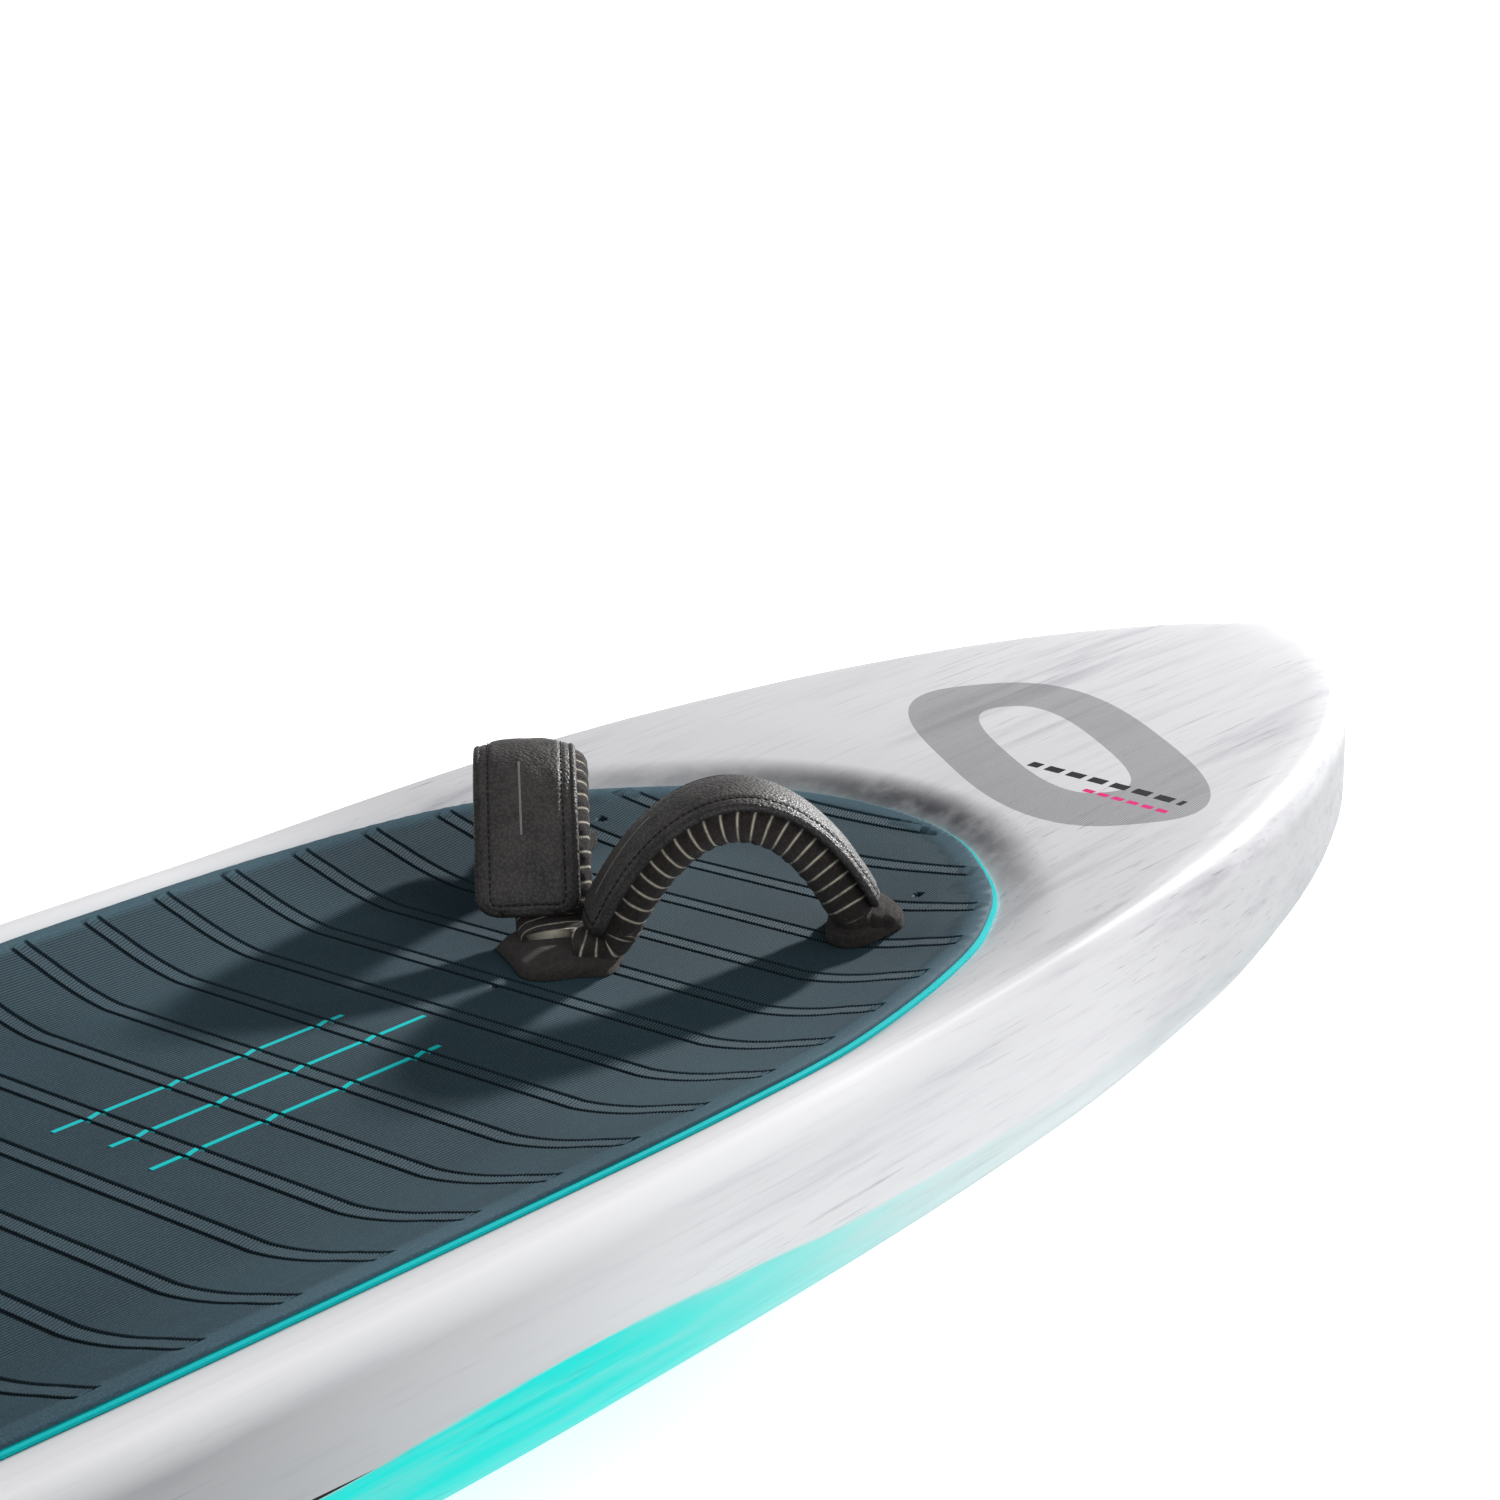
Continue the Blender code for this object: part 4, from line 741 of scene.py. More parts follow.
def in_hole(x, y):
    """Whether a point lies in one of the unused strap insert holes that the straps leave open to see."""
    return np.min([np.hypot(x - hx, y - hy) for hx, hy in OPEN_HOLES], 0) < HOLE_RADIUS


def rib_valley_shade(x, y):
    """Painted shade on the foam: rib valleys and groove floors, and the open holes fully dark."""
    inner = depth_inside_pad(x, y) - BASE_SHOW
    ribbed = np.clip((inner - RIM) / 0.006, 0, 1)
    groove = in_pair(x) & (inner > GROOVE_STOP)
    valley = (1 - ribs(y)) * ribbed
    valley_shade = np.where(groove, 0.60 + 0.38 * valley, 0.24 + 0.72 * valley)
    return np.where(in_hole(x, y), 1.0, valley_shade)


def strip_bars(path):
    """The narrow strips between the two grooves of each pair, with ribs that run askew."""
    vertices, faces, valley_shades = [], [], []
    half = (PAIR_SPACING - GROOVE_WIDTH) / 2
    for k in PAIR_RANGE:
        centre = PAIR_FIRST + PAIR_PITCH * k
        y = np.arange(0, 0.25, RIB_PITCH / 2)
        y = y[depth_inside_pad(0 * y + centre, y) - BASE_SHOW > GROOVE_STOP]
        if len(y) < 10:
            continue
        y = np.concatenate([-y[:0:-1], y])
        start = len(vertices)
        buried = GROOVE_DEPTH + 0.0003
        for x, shift, drop in ((centre - half, -0.5, buried), (centre - half, -0.5, 0.0),
                               (centre, 0.0, 0.0),
                               (centre + half, 0.5, 0.0), (centre + half, 0.5, buried)):
            lean = y + shift * RIB_PITCH
            xs = np.full(len(y), x)
            depth = depth_inside_pad(xs, lean)
            ribbed = np.clip((depth - BASE_SHOW - RIM) / 0.004, 0, 1)
            relief = 0 if drop else (ribs(y) - 1) * RIB_HEIGHT * ribbed
            height = pad_height(xs, lean, depth) - drop + relief
            vertices += np.stack([xs, lean, height], 1).tolist()
            # Painted shade: the buried walls nearly dark, the rib valleys darker than the crests.
            valley_shades += (np.full(len(y), 0.95) if drop else 0.24 + 0.72 * (1 - ribs(y)) * ribbed).tolist()
        count = len(y)
        faces += grid_faces(5, count, wrap_rows=True, start=start)
        faces.append([start + r * count for r in range(5)])
        faces.append([start + r * count + count - 1 for r in range(4, -1, -1)])
    return vertices, faces, valley_shades


top_path = inset_edge(BASE_SHOW)
base_path = inset_edge(0.0)
base_rows = pad_rows(base_path)
base_rows = np.unique(np.concatenate([base_rows[::2], base_rows[:16], base_rows[-22:]]))
aqua_base = pad_sheet("aqua_pad_base", base_path, AQUA_FOAM, GAP, GAP + PAD_BASE,
                      np.linspace(-0.25, 0.25, 81), base_rows, lambda x, y, depth: 0 * x)
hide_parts("pad_base")
ribbed_pad = pad_sheet("ribbed_pad", top_path, SLATE, 2 * GAP + PAD_BASE, PAD_STACK, pad_columns(),
                       pad_rows(top_path), top_relief, rib_valley_shade)
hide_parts("deck_pad")
bar_points, bar_faces, bar_valley_shades = strip_bars(top_path)
bars = new_piece("askew_rib_strips", bar_points, bar_faces, SLATE, merge=0, sharp=50,
                 colours={"valley_shade": bar_valley_shades})


def inlay_stripes():
    """Thin aqua centre stripes that show between the ribs, broken askew at each groove pair."""
    vertices, faces = [], []
    trench = (PAIR_SPACING + GROOVE_WIDTH) / 2
    askew = RIB_PITCH / 2
    for y0, begin, end in STRIPES:
        cuts = [begin]
        for k in PAIR_RANGE:
            centre = PAIR_FIRST + PAIR_PITCH * k
            if begin < centre < end:
                cuts += [centre - trench, centre + trench]
        cuts.append(end)
        spans = [(a, b, 0.0, 0.0, 0.00012) for a, b in zip(cuts[::2], cuts[1::2])]
        spans += [(a + GROOVE_WIDTH, b - GROOVE_WIDTH, -askew, askew, 0.00012)
                  for a, b in zip(cuts[1::2], cuts[2::2])]
        spans += [(a, a + GROOVE_WIDTH, 0.0, -askew, -GROOVE_DEPTH + 0.0002) for a in cuts[1:-1:2]]
        spans += [(b - GROOVE_WIDTH, b, askew, 0.0, -GROOVE_DEPTH + 0.0002) for b in cuts[2:-1:2]]
        for a, b, shift_a, shift_b, lift in spans:
            start = len(vertices)
            for x, shift in ((a, shift_a), (b, shift_b)):
                height = float(pad_height(np.array([x]), np.array([y0]))[0])
                for y, z in ((-STRIPE_HALF, -0.0009), (STRIPE_HALF, -0.0009), (STRIPE_HALF, 0.0),
                             (-STRIPE_HALF, 0.0)):
                    vertices.append((x, y0 + y + shift, height + z + lift))
            faces += grid_faces(2, 4, wrap_columns=True, start=start)
            faces.append([start + k for k in (3, 2, 1, 0)])
            faces.append([start + k for k in (4, 5, 6, 7)])
    return new_piece("centre_stripes", vertices, faces, AQUA_FOAM, merge=0, sharp=30)


inlay_stripes()


# -------------------- kick pad on the tail
KICK_HALF = 0.135
KICK_RISE = [(-0.925, 0.0165), (-0.922, 0.0215), (-0.915, 0.0225), (-0.900, 0.0205), (-0.875, 0.0115),
             (-0.845, 0.0030), (-0.843, 0.0012)]


def kick_bar():
    """Wedge of ribbed foam across the tail end of the pad, steepest at its rear."""
    y = np.arange(-KICK_HALF, KICK_HALF + 1e-6, RIB_PITCH / 2)
    x = np.concatenate([np.linspace(-0.925, -0.912, 14), np.linspace(-0.908, -0.843, 24)])
    grid_x, grid_y = np.meshgrid(x, y, indexing="ij")
    taper = np.clip((KICK_HALF - np.abs(grid_y)) / 0.012, 0, 1)
    rise = line_value(KICK_RISE, grid_x) * np.sqrt(1 - (1 - taper) ** 2) + 0.0006
    base = pad_height(grid_x, grid_y)
    ribbed = (ribs(grid_y) - 1) * 0.0005 * np.clip(rise / 0.004 - 0.3, 0, 1)
    top = np.stack([grid_x, grid_y, base + rise + ribbed], 2)
    bottom = np.stack([grid_x, grid_y, base + 0.0001], 2)[:, ::16]
    ring = np.concatenate([top, bottom[:, ::-1]], 1)
    faces = capped_faces(*ring.shape[:2])
    return new_piece("kick_bar", ring.reshape(-1, 3), faces, SLATE, sharp=50, merge=1e-5)


kick = kick_bar()
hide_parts("kick_pad")

# -------------------- foot straps
STRAP_INNER = np.array((0.174, 0.0))
STRAP_OUTER = np.array((0.312, 0.1275))
STRAP_LENGTH = float(np.linalg.norm(STRAP_OUTER - STRAP_INNER))
AHEAD = (STRAP_OUTER - STRAP_INNER) / STRAP_LENGTH
SIDES = {"port": 1, "starboard": -1}
ARCH_MIDDLE, ARCH_HALF_SPAN, ARCH_FOOT, ARCH_RISE, ARCH_POWER = 0.105, 0.073, 0.010, 0.071, 1.7
SLEEVE_TURN = 0.30           # where the leaning sleeve begins, as a turn of the arch


def strap_plan(side, u, v):
    """Plan points u along a strap's line from the shared screw and v to its tail-facing side."""
    ahead = STRAP_INNER[0] + AHEAD[0] * u - AHEAD[1] * v
    return np.stack([ahead, side * (AHEAD[1] * u + AHEAD[0] * v)], -1)


def arch_line(side, turn):
    """Points of the strap's arch at turns from 0 at the shared screw's end to pi at the outer end."""
    plan = strap_plan(side, ARCH_MIDDLE - ARCH_HALF_SPAN * np.cos(turn), 0 * turn)
    lift = ARCH_FOOT + ARCH_RISE * np.maximum(np.sin(turn), 0) ** ARCH_POWER
    return np.concatenate([plan, (pad_height(plan[..., 0], plan[..., 1]) + lift)[..., None]], -1)


def frames_of(line, side):
    """Outward normals and the sideways direction along a line that runs with the strap."""
    sideways = np.array((-AHEAD[1], side * AHEAD[0], 0.0))
    tangent = np.gradient(line, axis=0)
    normal = np.cross(tangent, sideways) * side
    normal /= np.linalg.norm(normal, axis=1, keepdims=True)
    return normal, sideways


def arch_point(side, turn, v, n):
    """Point of the arch moved v sideways and n outwards, for arrays of the same shape."""
    flat = np.ravel(turn)
    step = 0.004
    tangent = arch_line(side, flat + step) - arch_line(side, flat - step)
    sideways = np.array((-AHEAD[1], side * AHEAD[0], 0.0))
    normal = np.cross(tangent, sideways) * side
    normal /= np.linalg.norm(normal, axis=1, keepdims=True)
    made = arch_line(side, flat) + sideways * np.ravel(v)[:, None] + normal * np.ravel(n)[:, None]
    return made.reshape(*np.shape(turn), 3)


def wavy(seed, count, *values):
    """Sum of a few random waves over arrays of coordinates, about -1 to 1."""
    random = np.random.default_rng(seed)
    total = 0.0
    for _ in range(count):
        phase = random.uniform(0, 6.28)
        for value in values:
            phase = phase + value * random.uniform(-1, 1)
        total = total + np.sin(phase)
    return total / count**0.5 / 1.2


TUBE_POWER = 0.8             # below 1 makes the tube's section squarer than an ellipse
RING_PITCH, RING_HALF, RING_SLANT = 0.0088, 0.00055, 0.0060


def tube(name, centre, normal, sideways, wide, thick, material, body, puff, seed, ringed=1.0):
    """Soft knitted tube along a line, gathered a little where each pale elastic ring goes round it."""
    count = 112
    rows = len(centre)
    angle = 2 * np.pi * np.arange(count) / count
    c, s = np.cos(angle), np.sin(angle)
    length = np.concatenate([[0], np.cumsum(np.linalg.norm(np.diff(centre, axis=0), axis=1))])[:, None]
    wander = wavy(seed, 5, 90 * length + 0 * angle, 2.2 * s[None, :] + 0 * length)
    phase = (length + RING_SLANT * c[None, :] + 0.0005 * wander) / RING_PITCH
    fold = np.abs(np.sin(np.pi * phase))
    fuzz = wavy(seed + 3, 7, 700 * length + 0 * angle, 9 * c[None, :], 9 * s[None, :])
    swell = puff * (fold**0.6 - 0.72) + 0.0003 * fuzz
    v = np.sign(c) * np.abs(c) ** TUBE_POWER * np.reshape(wide, (-1, 1)) + c * swell
    n = np.sign(s) * np.abs(s) ** TUBE_POWER * np.reshape(thick, (-1, 1)) + s * swell
    skin = centre[:, None] + sideways * v[..., None] + normal[:, None] * n[..., None]
    near_valley = np.abs(phase - np.round(phase)) * RING_PITCH
    cream = ringed * np.exp(-((near_valley / RING_HALF) ** 2))
    return new_piece(name, skin.reshape(-1, 3), capped_faces(rows, count), material, body, sharp=0, merge=0,
                     colours={"cream": cream.ravel()})


def ringed_knit():
    """The brown knit with its pale elastic rings, read from the cream attribute."""
    n = Nodes("ringed_knit", roughness=0.96, Sheen_Weight=0.15, Sheen_Roughness=0.5)
    fibres = n.noise(1500, 3, 0.7, distortion=0.6)
    tufts = n.noise(380, 3, 0.6)
    tone = n.math("ADD", n.range(fibres, 0.35, 0.72, 0.0, 0.6), n.range(tufts, 0.45, 0.75, 0.0, 0.4))
    knit_colour = n.mix(tone, (0.008, 0.006, 0.006), (0.078, 0.057, 0.050))
    patchy = n.math("MULTIPLY", n.value("cream"), n.range(n.noise(260, 3, 0.6), 0.30, 0.50, 0.55, 1.0))
    n.colour(n.mix(patchy, knit_colour, (0.92, 0.86, 0.70)))
    n.bump(n.math("ADD", fibres, tufts), 0.8, 0.0013)
    return n.material


RINGED_KNIT = ringed_knit()
COVER_HALF, COVER_LENGTH = 0.0285, 0.235
COVER_SHIFT = {1: 0.015, -1: 0.0}     # the port cover sits off the middle of its strap
COVER_LOW, COVER_THICK, COVER_CORNER = 0.0152, 0.0030, 0.014
CENTRE_CLEAR = 0.0022


def cover_spot(side, s, c, n):
    """Point of a cover: s runs along the strap, c from -1 on its nose-facing edge to 1, n is its height."""
    begin, end = 0.25, math.pi - 0.29
    turn = begin + (end - begin) * s
    run = COVER_LENGTH * np.minimum(s, 1 - s)
    corner = np.sqrt(np.clip(1 - (1 - np.clip(run / COVER_CORNER, 0, 1)) ** 2, 0, 1))
    half = COVER_HALF - COVER_CORNER * (1 - corner)
    v = COVER_SHIFT[side] + half * c
    along_line = ARCH_MIDDLE - ARCH_HALF_SPAN * np.cos(turn) - 0.017 * np.cos(turn)
    fanned = 0.02 * (1 + c) * (s < 0.5) * np.clip(0.2 - s, 0, 1)
    # Where the two covers meet, each stays on its own side of the centreline.
    v = np.maximum(v, (CENTRE_CLEAR - AHEAD[1] * along_line) / AHEAD[0] + fanned)
    droop = 0.0036 * np.abs(c) ** 2.4
    return arch_point(side, turn, v, COVER_LOW + n - droop)


def cover_loop(inset, count=420):
    """Outline of a cover in (s, c), drawn in by inset."""
    along_inset, across_inset = inset / COVER_LENGTH, inset / COVER_HALF
    low, high, edge = along_inset, 1 - along_inset, 1 - across_inset
    corners = np.array([(low, -edge), (high, -edge), (high, edge), (low, edge), (low, -edge)])
    steps = np.array([0.0, 3.0, 4.0, 7.0, 8.0])
    t = np.linspace(0, 8, count, endpoint=False)
    return np.interp(t, steps, corners[:, 0]), np.interp(t, steps, corners[:, 1])


def strap_cover(name, side, body):
    s, c = np.meshgrid(np.linspace(0, 1, 190), np.linspace(-1, 1, 72), indexing="ij")
    rim = np.minimum(np.minimum(s, 1 - s) * COVER_LENGTH, (1 - np.abs(c)) * COVER_HALF)
    padding = COVER_THICK + 0.0016 * np.clip(rim / 0.009, 0, 1) ** 0.6
    seam = -0.0009 * np.exp(-(((rim - 0.0062) / 0.0012) ** 2))
    creases = 0.00022 * wavy(4 + side, 9, 60 * s, 14 * c)
    top = cover_spot(side, s, c, padding + seam + creases)
    bottom = cover_spot(side, s, c, 0 * s)[:, ::6]
    ring = np.concatenate([top, bottom[:, ::-1]], 1)
    faces = capped_faces(*ring.shape[:2])
    return new_piece(name, ring.reshape(-1, 3), faces, LEATHER, body, sharp=60, merge=1e-6)


def rope(name, path, radius, material, body, count=14):
    """Round cord along a path of points, closed into a ring."""
    path = np.asarray(path)
    tangent = np.roll(path, -1, 0) - np.roll(path, 1, 0)
    tangent /= np.linalg.norm(tangent, axis=1, keepdims=True)
    up = np.cross(tangent, np.array((0.13, 0.21, 0.97)))
    up /= np.linalg.norm(up, axis=1, keepdims=True)
    other = np.cross(tangent, up)
    angle = 2 * np.pi * np.arange(count) / count
    spoke = up[:, None] * np.cos(angle)[None, :, None] + other[:, None] * np.sin(angle)[None, :, None]
    ring = path[:, None] + radius * spoke
    faces = grid_faces(len(path), count, wrap_rows=True, wrap_columns=True)
    return new_piece(name, ring.reshape(-1, 3), faces, material, body, sharp=0, merge=0)


def stitches(name, path, material, body, length=0.0030, gap=0.0012, radius=0.00042):
    """Row of short raised stitches along a closed path of points."""
    path = np.asarray(path)
    closed_path = np.concatenate([path, path[:1]])
    steps = np.concatenate([[0], np.cumsum(np.linalg.norm(np.diff(closed_path, axis=0), axis=1))])
    count = int(steps[-1] / (length + gap))
    vertices, faces = [], []
    for k in range(count):
        at = (np.array([0.0, 0.18, 0.5, 0.82, 1.0]) * length + k * (length + gap)) % steps[-1]
        line = np.stack([np.interp(at, steps, closed_path[:, i]) for i in range(3)], 1)
        ahead = line[-1] - line[0]
        ahead /= np.linalg.norm(ahead) + 1e-12
        across = np.cross(ahead, (0.1, 0.2, 0.97))
        across /= np.linalg.norm(across)
        above = np.cross(across, ahead)
        start = len(vertices)
        for point, swell in zip(line, (0.35, 0.85, 1.0, 0.85, 0.35)):
            for a, b in ((1, 0), (0, 1), (-1, 0), (0, -1)):
                vertices.append(point + radius * swell * (across * a + above * b))
        faces += grid_faces(5, 4, wrap_columns=True, start=start)
        faces.append([start, start + 1, start + 2, start + 3])
        faces.append([start + 19, start + 18, start + 17, start + 16])
    return new_piece(name, vertices, faces, material, body, sharp=0, merge=0)


# A printed line's c at its two ends, then its s at them.
PRINTED_LINE = {"port": (0.10, 0.12, 0.22, 0.42), "starboard": (0.20, -0.10, 0.10, 0.32)}


def cover_print(name, side, body, c0, c1, s0, s1, width):
    """Thin printed line that lies on a cover from (s0, c0) to (s1, c1)."""
    t = np.linspace(0, 1, 60)[:, None]
    across = np.array([-1, 1, 1, -1])[None, :]
    lift = np.array([0.0, 0.0, 0.00022, 0.00022])[None, :]
    s = s0 + (s1 - s0) * t + 0 * across
    c = c0 + (c1 - c0) * t + across * width / 2 / COVER_HALF
    ring = cover_spot(side, s, c, COVER_THICK + 0.00155 + 0 * s + lift)
    return new_piece(name, ring.reshape(-1, 3), capped_faces(60, 4), SILVER, body, merge=0, sharp=30)


def foot_line(side, points, steps):
    """Line through (along the strap, height over the pad) points."""
    line = smooth_path(points, steps)
    plan = strap_plan(side, line[:, 0], 0 * line[:, 0])
    return np.concatenate([plan, (pad_height(plan[:, 0], plan[:, 1]) + line[:, 1])[:, None]], 1)


def strap(name, side):
    body = "strap_" + name
    turns = np.linspace(SLEEVE_TURN, math.pi - SLEEVE_TURN, 420)
    line = arch_line(side, turns)
    normal, sideways = frames_of(line, side)
    sleeve = tube("knit_sleeve_" + name, line, normal, sideways, 0.0232, 0.0145, RINGED_KNIT, body,
                  puff=0.0009, seed=11 + side)
    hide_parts("strap_sleeve_" + name)
    pieces = [strap_cover("leather_cover_" + name, side, body)]
    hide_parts("strap_cover_" + name)
    s, c = cover_loop(0.0)
    path = cover_spot(side, s, c, COVER_THICK * 0.5 + 0 * s)
    pieces.append(rope("cover_piping_" + name, path, 0.0027, PIPING, body))
    s, c = cover_loop(0.0062)
    path = cover_spot(side, s, c, COVER_THICK + 0.0009 + 0 * s)
    pieces.append(stitches("cover_stitches_" + name, path, THREAD, body))
    cover_print("cover_line_" + name, side, body, *PRINTED_LINE[name], 0.0013)


for strap_name, strap_side in SIDES.items():
    strap(strap_name, strap_side)

# Knitted ends that lie on the pad and rise into the straps: the line as (along the strap, height over the
# pad), then the half-width and the half-thickness at each of its points.
FEET = {
    "inner": ([(0.0100, 0.0090), (0.0180, 0.0092), (0.0260, 0.0100), (0.0320, 0.0128), (0.0353, 0.0189),
               (0.0393, 0.0272)],
              [0.0190, 0.0215, 0.0226, 0.0232, 0.0230, 0.0226],
              [0.0060, 0.0070, 0.0086, 0.0115, 0.0139, 0.0137]),
    "outer": ([(0.1707, 0.0272), (0.1747, 0.0189), (0.1780, 0.0128), (0.1840, 0.0100), (0.1930, 0.0090),
               (0.1990, 0.0080)],
              [0.0226, 0.0230, 0.0234, 0.0236, 0.0240, 0.0215],
              [0.0137, 0.0139, 0.0118, 0.0092, 0.0078, 0.0060]),
}


def strap_feet(name, side):
    """Bottom ends of a strap's sleeve, which bend between the board and the leaning strap."""
    for foot, (points, wide, thick) in FEET.items():
        line = foot_line(side, points, 16)
        shares = np.linspace(0, 1, len(line))
        knots = np.linspace(0, 1, len(points))
        normal, sideways = frames_of(line, side)
        base = pad_height(line[:, 0], line[:, 1])
        thickness = np.interp(shares, knots, thick)
        low = line[:, 2] - thickness * np.abs(normal[:, 2])
        line[:, 2] += np.maximum(base + 0.0004 - low, 0)
        ringed = 1.0 if foot == "inner" else np.clip((0.30 - shares) / 0.1, 0, 1)[:, None]
        collar = tube("knit_foot_%s_%s" % (foot, name), line, normal, sideways,
                      np.interp(shares, knots, wide), thickness, RINGED_KNIT, None, puff=0.0008,
                      seed=31 + side + len(foot), ringed=ringed)
        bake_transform(collar)


def felt_patch(name, outline, edge, middle, lip=0.0, rings=26, seed=3):
    """Soft flat end of a strap, rolled at its edge. lip is how deep a groove runs just inside the edge."""
    loop = smooth_path(outline + [outline[0]], 12)[:-1]
    centre = loop.mean(0)
    share = np.linspace(1, 0.02, rings)[:, None]
    plan = centre + (loop - centre)[None] * share[..., None]
    away = 1 - share
    ground = pad_height(plan[..., 0], plan[..., 1])
    rolled = np.sqrt(np.clip(1 - (1 - np.clip(away / 0.12, 0, 1)) ** 2, 0, 1))
    height = (edge + (middle - edge) * np.clip(away / 0.5, 0, 1) ** 0.8) * (0.25 + 0.75 * rolled)
    height = height + 0.0005 * wavy(seed, 9, 260 * plan[..., 0], 260 * plan[..., 1]) * rolled
    height = height - lip * np.exp(-(((away - 0.10) / 0.05) ** 2))
    top = np.concatenate([plan, (ground + height)[..., None]], 2)
    count = len(loop)
    ground_at_centre = float(pad_height(*centre[:, None])[0])
    vertices = top.reshape(-1, 3).tolist() + [[*centre, ground_at_centre + middle]]
    faces = grid_faces(rings, count, wrap_columns=True)
    last = (rings - 1) * count
    faces += [[last + k, last + (k + 1) % count, len(vertices) - 1] for k in range(count)]
    floor_start = len(vertices)
    floor = np.concatenate([plan[0], (ground[0] + 0.0003)[:, None]], 1)
    vertices += floor.tolist() + [[*centre, ground_at_centre + 0.0003]]
    for k in range(count):
        n = (k + 1) % count
        faces.append([k, n, floor_start + n, floor_start + k])
        faces.append([floor_start + n, floor_start + k, len(vertices) - 1])
    patch = new_piece(name, vertices, faces, FELT, sharp=0, merge=1e-7)
    return patch


def felt():
    n = Nodes("brown_felt", roughness=0.97, Sheen_Weight=0.15, Sheen_Roughness=0.5)
    fibres = n.noise(1200, 4, 0.75, distortion=1.2)
    tufts = n.math("MULTIPLY", n.noise(240, 3, 0.6), 0.3)
    tone = n.range(n.math("ADD", n.math("MULTIPLY", fibres, 0.7), tufts), 0.36, 0.66)
    n.colour(n.mix(tone, (0.007, 0.005, 0.005), (0.078, 0.060, 0.054)))
    n.bump(fibres, 0.9, 0.0016)
    return n.material


FELT = felt()
SHARED_TAB = [(0.1655, 0.0396), (0.1529, 0.0166), (0.1409, -0.0042), (0.1445, -0.0186),
              (0.1608, -0.0309), (0.1716, -0.0424), (0.1864, -0.0381), (0.2068, -0.0259),
              (0.2220, -0.0100), (0.2250, 0.0100), (0.2150, 0.0280), (0.1900, 0.0450)]
OUTER_END = [(0.2840, 0.1170), (0.2807, 0.1270), (0.2807, 0.1352), (0.2868, 0.1434), (0.3063, 0.1496),
             (0.3167, 0.1484), (0.3285, 0.1387), (0.3438, 0.1173), (0.3465, 0.1049), (0.3320, 0.0980),
             (0.3150, 0.0960), (0.2960, 0.1060)]
OUTER_END_SIZE = {"port": 0.74, "starboard": 1.0}
shared_tab = felt_patch("felt_tab_centre", SHARED_TAB, 0.0042, 0.0098)
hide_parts("strap_tab_centre")
for strap_name, strap_side in SIDES.items():
    strap_feet(strap_name, strap_side)
    size = OUTER_END_SIZE[strap_name]
    drawn = [STRAP_OUTER + size * (np.array(corner) - STRAP_OUTER) for corner in OUTER_END]
    corners = [(x, strap_side * y) for x, y in drawn]
    end_patch = felt_patch("felt_end_" + strap_name, corners, 0.0085, 0.0118, lip=0.0022,
                           seed=7 + strap_side)
    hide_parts("strap_tab_" + strap_name)

# -------------------- fittings keep their CAD shape
FITTING_MATERIALS = {
    "foam_core": FOAM, "stringer": WOOD, "mast_block": BLOCK, "strap_insert": BLACK,
    "strap_washer": BLACK, "strap_screw": STEEL, "strap_webbing": WEBBING, "handle_cup": BLACK,
    "handle_grip": BLACK, "handle_screw": STEEL, "mast_track": BLACK, "track_nut": BRASS,
    "leash_plug": BLACK, "leash_bar": STEEL, "vent_body": BLACK, "vent_cap": STEEL,
    "vent_membrane": MEMBRANE, "vent_seal": BLACK, "strap_tab": FELT,
}
for node_name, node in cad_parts.items():
    for prefix, material in FITTING_MATERIALS.items():
        if node_name.startswith(prefix):
            node.data.materials.clear()
            node.data.materials.append(material)

# -------------------- camera, floor and light
YAW, PITCH, ROLL = math.radians(38.62), math.radians(16.25), math.radians(-0.674)
EYE = Vector((-1.026, -1.1063, 0.705))


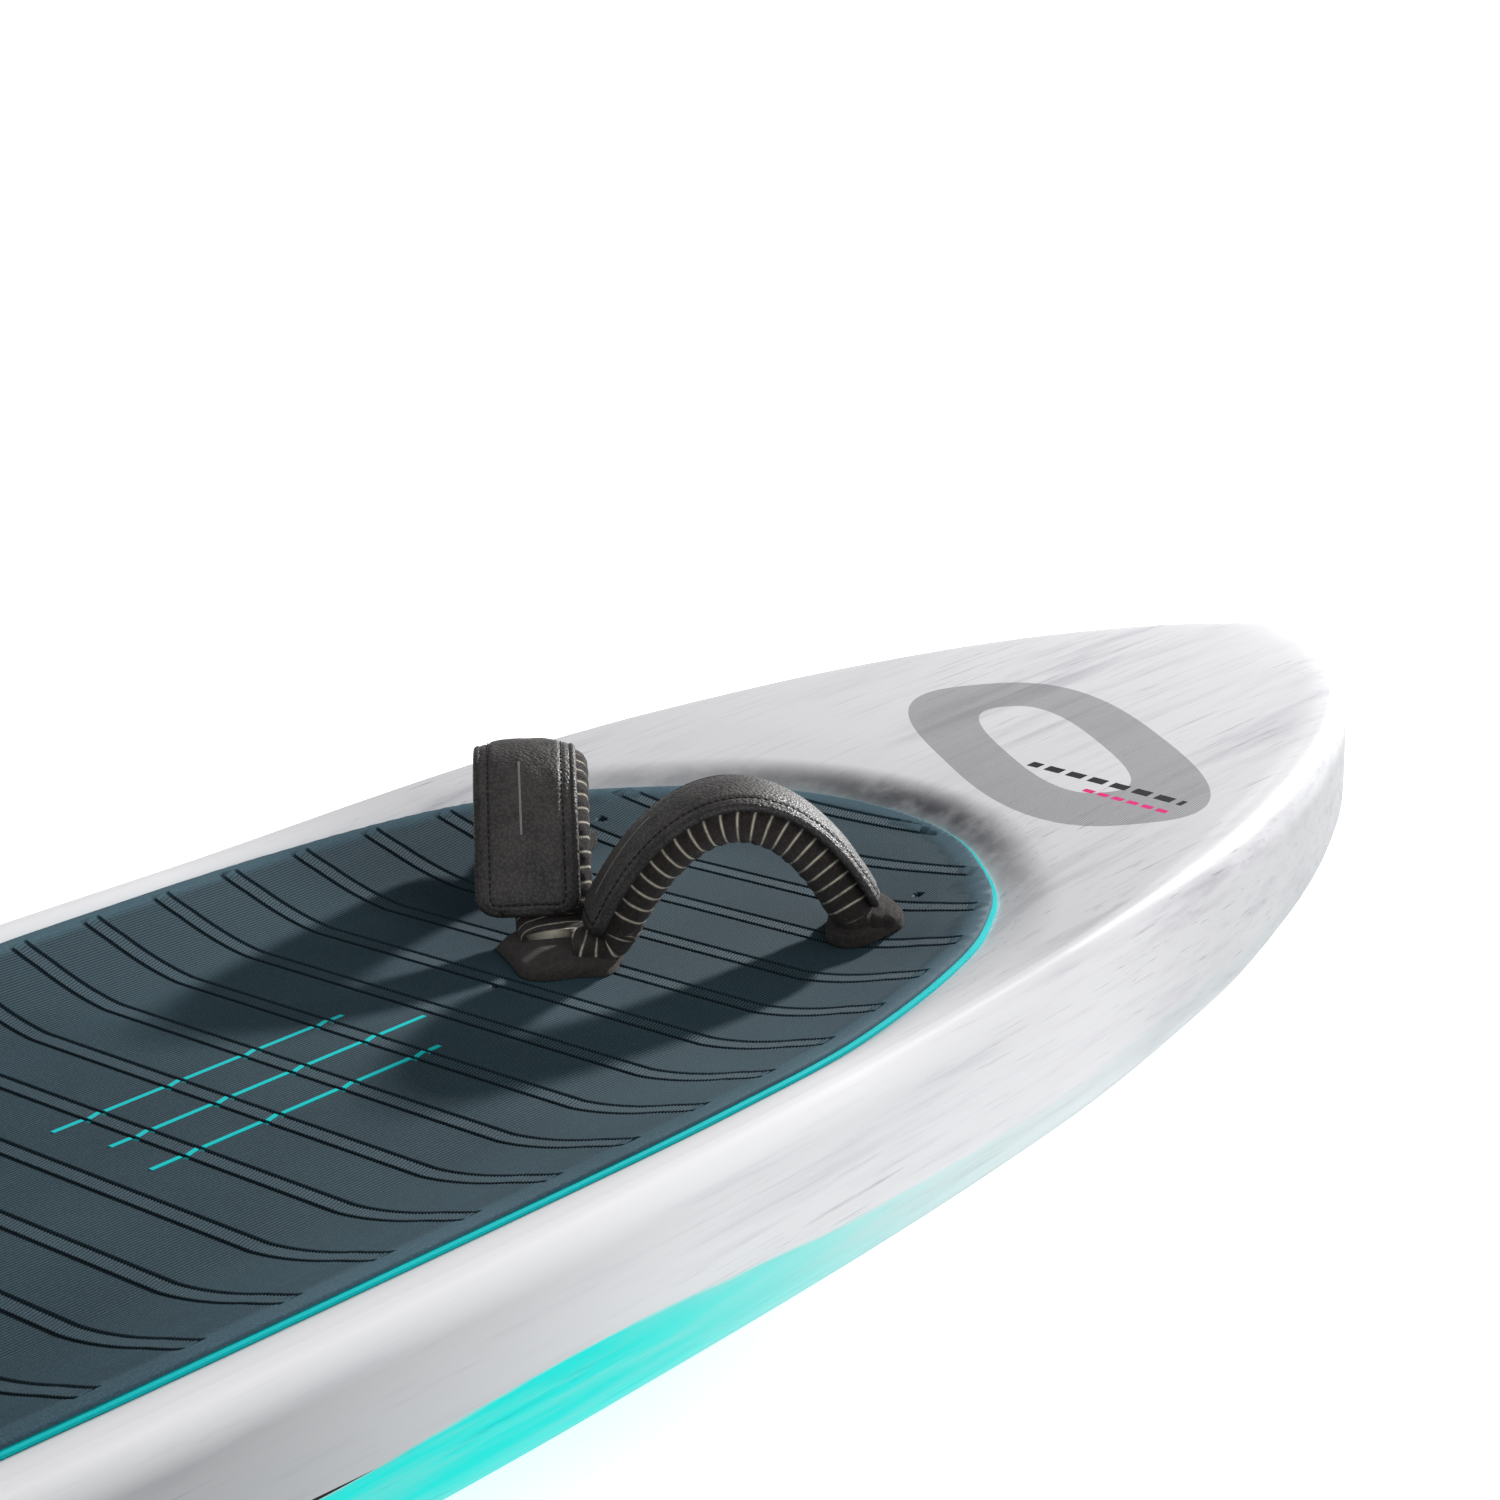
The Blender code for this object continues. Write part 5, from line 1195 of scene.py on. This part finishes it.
def add_camera():
    forward = Vector((math.cos(PITCH) * math.cos(YAW), math.cos(PITCH) * math.sin(YAW), -math.sin(PITCH)))
    right = Vector((math.sin(YAW), -math.cos(YAW), 0))
    up = right.cross(forward)
    turned_right = right * math.cos(ROLL) + up * math.sin(ROLL)
    turned_up = up * math.cos(ROLL) - right * math.sin(ROLL)
    data = bpy.data.cameras.new("camera")
    data.lens, data.sensor_width, data.clip_start = 70.9, 36.0, 0.02
    camera = bpy.data.objects.new("camera", data)
    bpy.context.scene.collection.objects.link(camera)
    rows = [(turned_right[i], turned_up[i], -forward[i], EYE[i]) for i in range(3)]
    camera.matrix_world = Matrix((*rows, (0, 0, 0, 1)))
    bpy.context.scene.camera = camera


def add_light(name, azimuth, elevation, distance, size, energy, target=(0.25, 0.0, 0.12)):
    """Square softbox that shines at the target; azimuth is counted from +X towards +Y."""
    data = bpy.data.lights.new(name, "AREA")
    data.size, data.energy = size, energy
    light = bpy.data.objects.new(name, data)
    bpy.context.scene.collection.objects.link(light)
    a, e = math.radians(azimuth), math.radians(elevation)
    away = Vector((math.cos(e) * math.cos(a), math.cos(e) * math.sin(a), math.sin(e)))
    light.location = Vector(target) + away * distance
    light.rotation_euler = away.to_track_quat("Z", "Y").to_euler()
    return light


def add_floor():
    mesh = bpy.data.meshes.new("floor")
    corners = [(x * 30, y * 30, -0.002) for x, y in ((-1, -1), (1, -1), (1, 1), (-1, 1))]
    mesh.from_pydata(corners, [], [(0, 1, 2, 3)])
    white = plain("floor_white", (0.90, 0.90, 0.90), (0.92, 0.92, 0.92), 0.9, 2)
    glow = white.node_tree.nodes["Principled BSDF"].inputs
    glow["Emission Color"].default_value = (1, 1, 1, 1)
    glow["Emission Strength"].default_value = 0.74
    mesh.materials.append(white)
    floor = bpy.data.objects.new("floor", mesh)
    bpy.context.scene.collection.objects.link(floor)


add_camera()
add_floor()
add_light("key", azimuth=-1, elevation=22, distance=4.5, size=0.32, energy=272)
add_light("side", azimuth=-105, elevation=14, distance=5.0, size=2.5, energy=45)
world = bpy.data.worlds.new("studio")
world.use_nodes = True
world.node_tree.nodes["Background"].inputs["Color"].default_value = (1, 1, 1, 1)
world.node_tree.nodes["Background"].inputs["Strength"].default_value = 0.32
bpy.context.scene.world = world
bpy.context.scene.view_settings.view_transform = "Standard"
